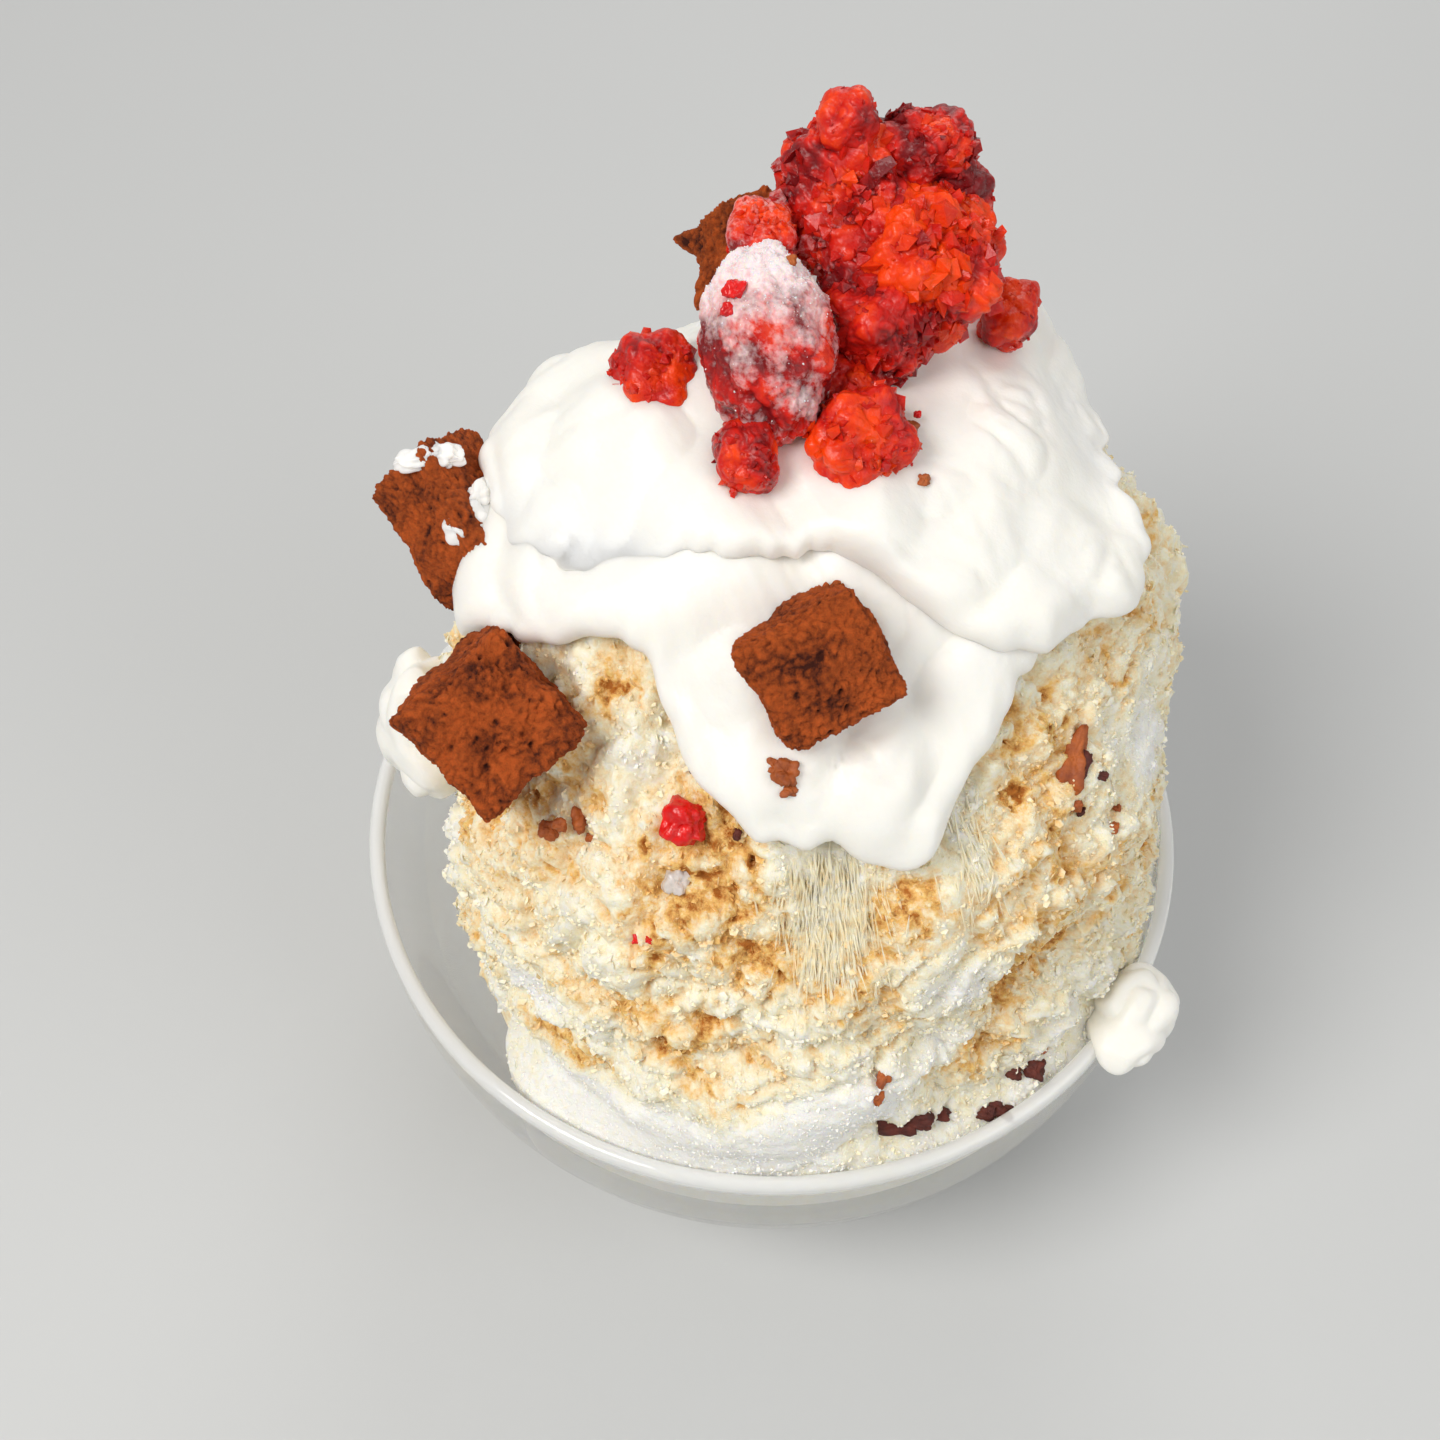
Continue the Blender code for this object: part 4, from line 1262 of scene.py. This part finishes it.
def build_raspberries(shape, colours):
    """Raspberries and broken pieces: drupelets x noise at three sizes, frosted from above."""
    material = flesh_material(colours)
    build_shards(shape, material)
    for name, middle, half, turn, count, tint in RASPBERRIES:
        whole = "frosted" in name
        sphere = sphere_grid(150, 220) if max(half) > FINE_GRID_HALF else sphere_grid(90, 130)
        reach = drupelets(sphere, count)
        reach = 0.45 + 0.55 * reach if whole else 0.20 + 0.80 * reach
        spot = placed(sphere, half, turn, middle)
        cracks = clumps(spot + 0.0008 * noise(spot, 0.002, 75)[..., None], 0.0044, 76)
        shreds = clumps(spot, 0.0014, 72)
        torn = 0.05 * noise(spot, 0.0042, 71) + 0.03 * (shreds - 0.6)
        if not whole:
            torn = torn + 0.15 * noise(spot, 0.0055, 78) + 0.07 * (cracks - 0.75)
            torn = torn + 0.6 * (blunted(sphere, 4) - 1.1)
        radius = reach * (1 + torn)
        points = placed(sphere * radius[..., None], half, turn, middle)
        mesh = closed_grid(name + "_flesh", points)
        # Painted light and shade: lit is higher on the tops of the drupelets and cracks and on the upper
        # side, and lower in the creases, on top of each piece's tint and random tone
        height = turned(sphere, turn)[..., 2]
        hollow = np.clip((reach - reach.min()) / np.ptp(reach), 0, 1)
        lit = 0.18 + 0.28 * tint + 0.22 * hollow + 0.12 * height + 0.30 * (cracks * shreds)
        lit = lit + 0.62 * noise(spot, 0.0060, 77)
        patchy = noise(spot, 0.0045, 74)
        cells = clumps(spot, 0.0026, 79) - 0.5
        if whole:
            facing = np.clip(turned(sphere, turn) @ FROST_SIDE - 0.2, -0.1, 0.6)
            frost = 0.24 + 1.3 * facing + 0.5 * patchy + 0.3 * cells
        else:
            frost = FROSTY.get(name, 0) - 0.34 + 0.30 * patchy
        set_values(mesh, "lit", grid_values(lit))
        set_values(mesh, "frost", grid_values(frost))
        add_piece(mesh, material, (name,))


def build_frost(shape, colours):
    """Tiny white crystals on the frosted raspberry, thickest on its top."""
    rng = np.random.default_rng(83)
    _, middle, half, turn, count, _ = RASPBERRIES[0]
    sphere = random_directions(rng, shape.frost_grains * 2)
    facing = np.clip(turned(sphere, turn) @ FROST_SIDE, 0, 1)
    kept = rng.random(len(sphere)) < 0.01 + 0.9 * facing**2
    sphere = sphere[kept][: shape.frost_grains]
    number = len(sphere)
    reach = 0.45 + 0.55 * drupelets(sphere, count)
    spot = placed(sphere, half, turn, middle)
    torn = 0.05 * noise(spot, 0.0042, 71) + 0.03 * (clumps(spot, 0.0014, 72) - 0.6)
    places = placed(sphere * (reach * (1 + torn))[:, None], half, turn, middle)
    size = rng.uniform(0.00006, 0.00017, (number, 1))
    scales = size * rng.uniform(0.6, 1.4, (number, 3))
    turns = random_turns(rng, number)
    mesh = scattered("frost_crystals", double_pyramid(4), places, scales, turns)
    values = {"Roughness": 0.45, "Subsurface Weight": 0.4, "Subsurface Scale": 0.001}
    material = chip_material("frost", (0.95, 0.90, 0.90), tuple(colours.frost), values)
    add_piece(mesh, material)


def build_chips(shape):
    """Chips and crumbs on the ice: small torn lumps, half sunk, one mesh for each kind."""
    wet = {"Roughness": 0.22, "Subsurface Weight": 0.3, "Subsurface Scale": 0.001}
    icy = {"Roughness": 0.15, "Transmission Weight": 0.4, "Subsurface Scale": 0.002}
    kinds = {
        "berry": ((0.85, 0.010, 0.008), (0.55, 0.004, 0.006), "raspberry", wet),
        "toffee": ((0.46, 0.11, 0.015), (0.22, 0.04, 0.008), "cake", {"Roughness": 0.6}),
        "cocoa": ((0.13, 0.020, 0.009), (0.035, 0.006, 0.005), "cake", {"Roughness": 0.7}),
        "crystal": ((0.95, 0.92, 0.90), (0.90, 0.86, 0.82), "ice", icy),
    }
    azimuth, polar = np.array([chip[:2] for chip in CHIPS], dtype=float).T
    places, _, _ = ice_surface(azimuth, polar, shape)
    lumps = [
        (kind, place, (wide, long, min(wide, long)))
        for (_, _, wide, long, kind), place in zip(CHIPS, places)
    ]
    lumps += [(kind, np.array(middle), (size,) * 3) for middle, size, kind in CRUMBS]
    for kind, (base, dark, slot, values) in kinds.items():
        bm = bmesh.new()
        for number, (what, place, half) in enumerate(lumps):
            if what == kind:
                made = torn_lump(number, place, half)
                bm.from_mesh(made)
                bpy.data.meshes.remove(made)
        mesh = bpy.data.meshes.new("chips_" + kind)
        bm.to_mesh(mesh)
        bm.free()
        mesh.shade_smooth()
        add_piece(mesh, chip_material(kind, base, dark, values))


def torn_lump(number, place, half):
    """A blunt block with sharp creases, its second axis pointing down the viewer's side."""
    rng = np.random.default_rng(90 + number)
    sphere = sphere_grid(26, 38)
    spot = turned(sphere, rng.uniform(0, 360, 3)) + number * 7
    swell = 0.90 + 0.42 * noise(spot, 1.0, 91) + 0.20 * (clumps(spot, 0.7, 92) - 0.5)
    swell = swell + 0.10 * (clumps(spot, 0.3, 93) - 0.5)
    down = np.array((-0.20, -0.83, -0.52))
    side = np.cross(down, (0, -0.53, 0.85))
    side /= np.linalg.norm(side)
    axes = np.stack([side, down, np.cross(side, down)])
    points = sphere * (blunted(sphere, 4) * swell)[..., None] * np.array(half)
    return closed_grid("chip", points @ axes + place)


def build_stage():
    """A pale floor, a camera above the viewer's side, and soft lights."""
    mesh = bpy.data.meshes.new("floor")
    corners = [(FLOOR_HALF * x, FLOOR_HALF * y, 0) for x, y in ((-1, -1), (1, -1), (1, 1), (-1, 1))]
    mesh.from_pydata(corners, [], [(0, 1, 2, 3)])
    floor = new_object("floor", mesh)
    material, tree, shader = shader_of("floor", {"Roughness": 0.7})
    stops = ((0.3, (0.56, 0.57, 0.57)), (0.7, (0.58, 0.59, 0.59)))
    shade = ramp_node(tree, noise_node(tree, 3, 2), stops)
    tree.links.new(shade, shader.inputs["Base Color"])
    mesh.materials.append(material)

    camera = new_object("camera", bpy.data.cameras.new("camera"))
    camera.location = CAMERA_PLACE
    camera.rotation_euler = (math.pi / 2 - CAMERA_DOWN, 0, 0)
    camera.data.lens = CAMERA_LENS
    camera.data.sensor_width = 36
    camera.data.clip_start = 0.01
    bpy.context.scene.camera = camera

    for name, place, size, power, tone in LAMPS:
        light = bpy.data.lights.new(name, "AREA")
        light.shape = "DISK"
        light.size = size
        light.energy = power
        light.color = tone
        lamp = new_object(name, light)
        lamp.location = place
        aim = np.array(LAMP_TARGET) - np.array(place)
        aim /= np.linalg.norm(aim)
        pitch = math.acos(-aim[2])
        lamp.rotation_euler = (pitch, 0, math.atan2(aim[1], aim[0]) - math.pi / 2)

    world = bpy.data.worlds.new("studio")
    bpy.context.scene.world = world
    world.use_nodes = True
    sky = world.node_tree.nodes["Background"]
    sky.inputs["Color"].default_value = (1.0, 0.99, 0.98, 1)
    sky.inputs["Strength"].default_value = 0.36
    bpy.context.scene.view_settings.view_transform = "Standard"


class DESSERT_OT_stage(Operator):
    """Add the floor, the camera and the lights"""

    bl_idname = "dessert.stage"
    bl_label = "Stage"

    def execute(self, context):
        build_stage()
        return {"FINISHED"}


class DESSERT_OT_bowl(Operator):
    """Turn the glass bowl"""

    bl_idname = "dessert.bowl"
    bl_label = "Glass bowl"

    def execute(self, context):
        build_bowl()
        return {"FINISHED"}


class DESSERT_OT_ice(Operator):
    """Heap the ice in the bowl, with its flakes, grains and fibres"""

    bl_idname = "dessert.ice"
    bl_label = "Shaved ice"

    def execute(self, context):
        shape = context.scene.dessert_shape
        colours = context.scene.dessert_colours
        build_ice(shape, ice_material(colours, "packed_ice", PACKED_ICE_DEPTH))
        loose = ice_material(colours, "loose_ice", LOOSE_ICE_DEPTH)
        build_flakes(shape, loose)
        build_grains(shape, loose)
        build_fibres(shape, loose)
        return {"FINISHED"}


class DESSERT_OT_cream(Operator):
    """Spread the cap and the tongue of cream, and drop the two lumps"""

    bl_idname = "dessert.cream"
    bl_label = "Whipped cream"

    def execute(self, context):
        material = cream_material(context.scene.dessert_colours)
        build_cream(context.scene.dessert_shape, material)
        build_dollops(material)
        return {"FINISHED"}


class DESSERT_OT_cakes(Operator):
    """Place the torn cubes of chocolate cake"""

    bl_idname = "dessert.cakes"
    bl_label = "Chocolate cake"

    def execute(self, context):
        build_cakes(context.scene.dessert_shape, cake_material(context.scene.dessert_colours))
        return {"FINISHED"}


class DESSERT_OT_raspberries(Operator):
    """Place the frosted raspberry and the broken ones"""

    bl_idname = "dessert.raspberries"
    bl_label = "Raspberries"

    def execute(self, context):
        build_raspberries(context.scene.dessert_shape, context.scene.dessert_colours)
        build_frost(context.scene.dessert_shape, context.scene.dessert_colours)
        return {"FINISHED"}


class DESSERT_OT_chips(Operator):
    """Scatter chips and crumbs on the ice"""

    bl_idname = "dessert.chips"
    bl_label = "Chips and crumbs"

    def execute(self, context):
        build_chips(context.scene.dessert_shape)
        return {"FINISHED"}


OPERATORS = (
    DESSERT_OT_stage,
    DESSERT_OT_bowl,
    DESSERT_OT_ice,
    DESSERT_OT_cream,
    DESSERT_OT_cakes,
    DESSERT_OT_raspberries,
    DESSERT_OT_chips,
)


class DESSERT_PT_panel(Panel):
    """The dessert's pieces, sizes and colours"""

    bl_idname = "DESSERT_PT_panel"
    bl_label = "Shaved ice dessert"
    bl_space_type = "VIEW_3D"
    bl_region_type = "UI"
    bl_category = "Dessert"

    def draw(self, context):
        for operator in OPERATORS:
            self.layout.operator(operator.bl_idname)
        for group in (context.scene.dessert_shape, context.scene.dessert_colours):
            for name in group.bl_rna.properties.keys():
                if name not in ("rna_type", "name"):
                    self.layout.prop(group, name)


CLASSES = (DessertShape, DessertColours, *OPERATORS, DESSERT_PT_panel)


def register():
    for cls in CLASSES:
        bpy.utils.register_class(cls)
    bpy.types.Scene.dessert_shape = PointerProperty(type=DessertShape)
    bpy.types.Scene.dessert_colours = PointerProperty(type=DessertColours)


def unregister():
    del bpy.types.Scene.dessert_colours
    del bpy.types.Scene.dessert_shape
    for cls in reversed(CLASSES):
        bpy.utils.unregister_class(cls)


def main():
    register()
    for operator in OPERATORS:
        category, name = operator.bl_idname.split(".")
        getattr(getattr(bpy.ops, category), name)()


if __name__ == "__main__":
    main()
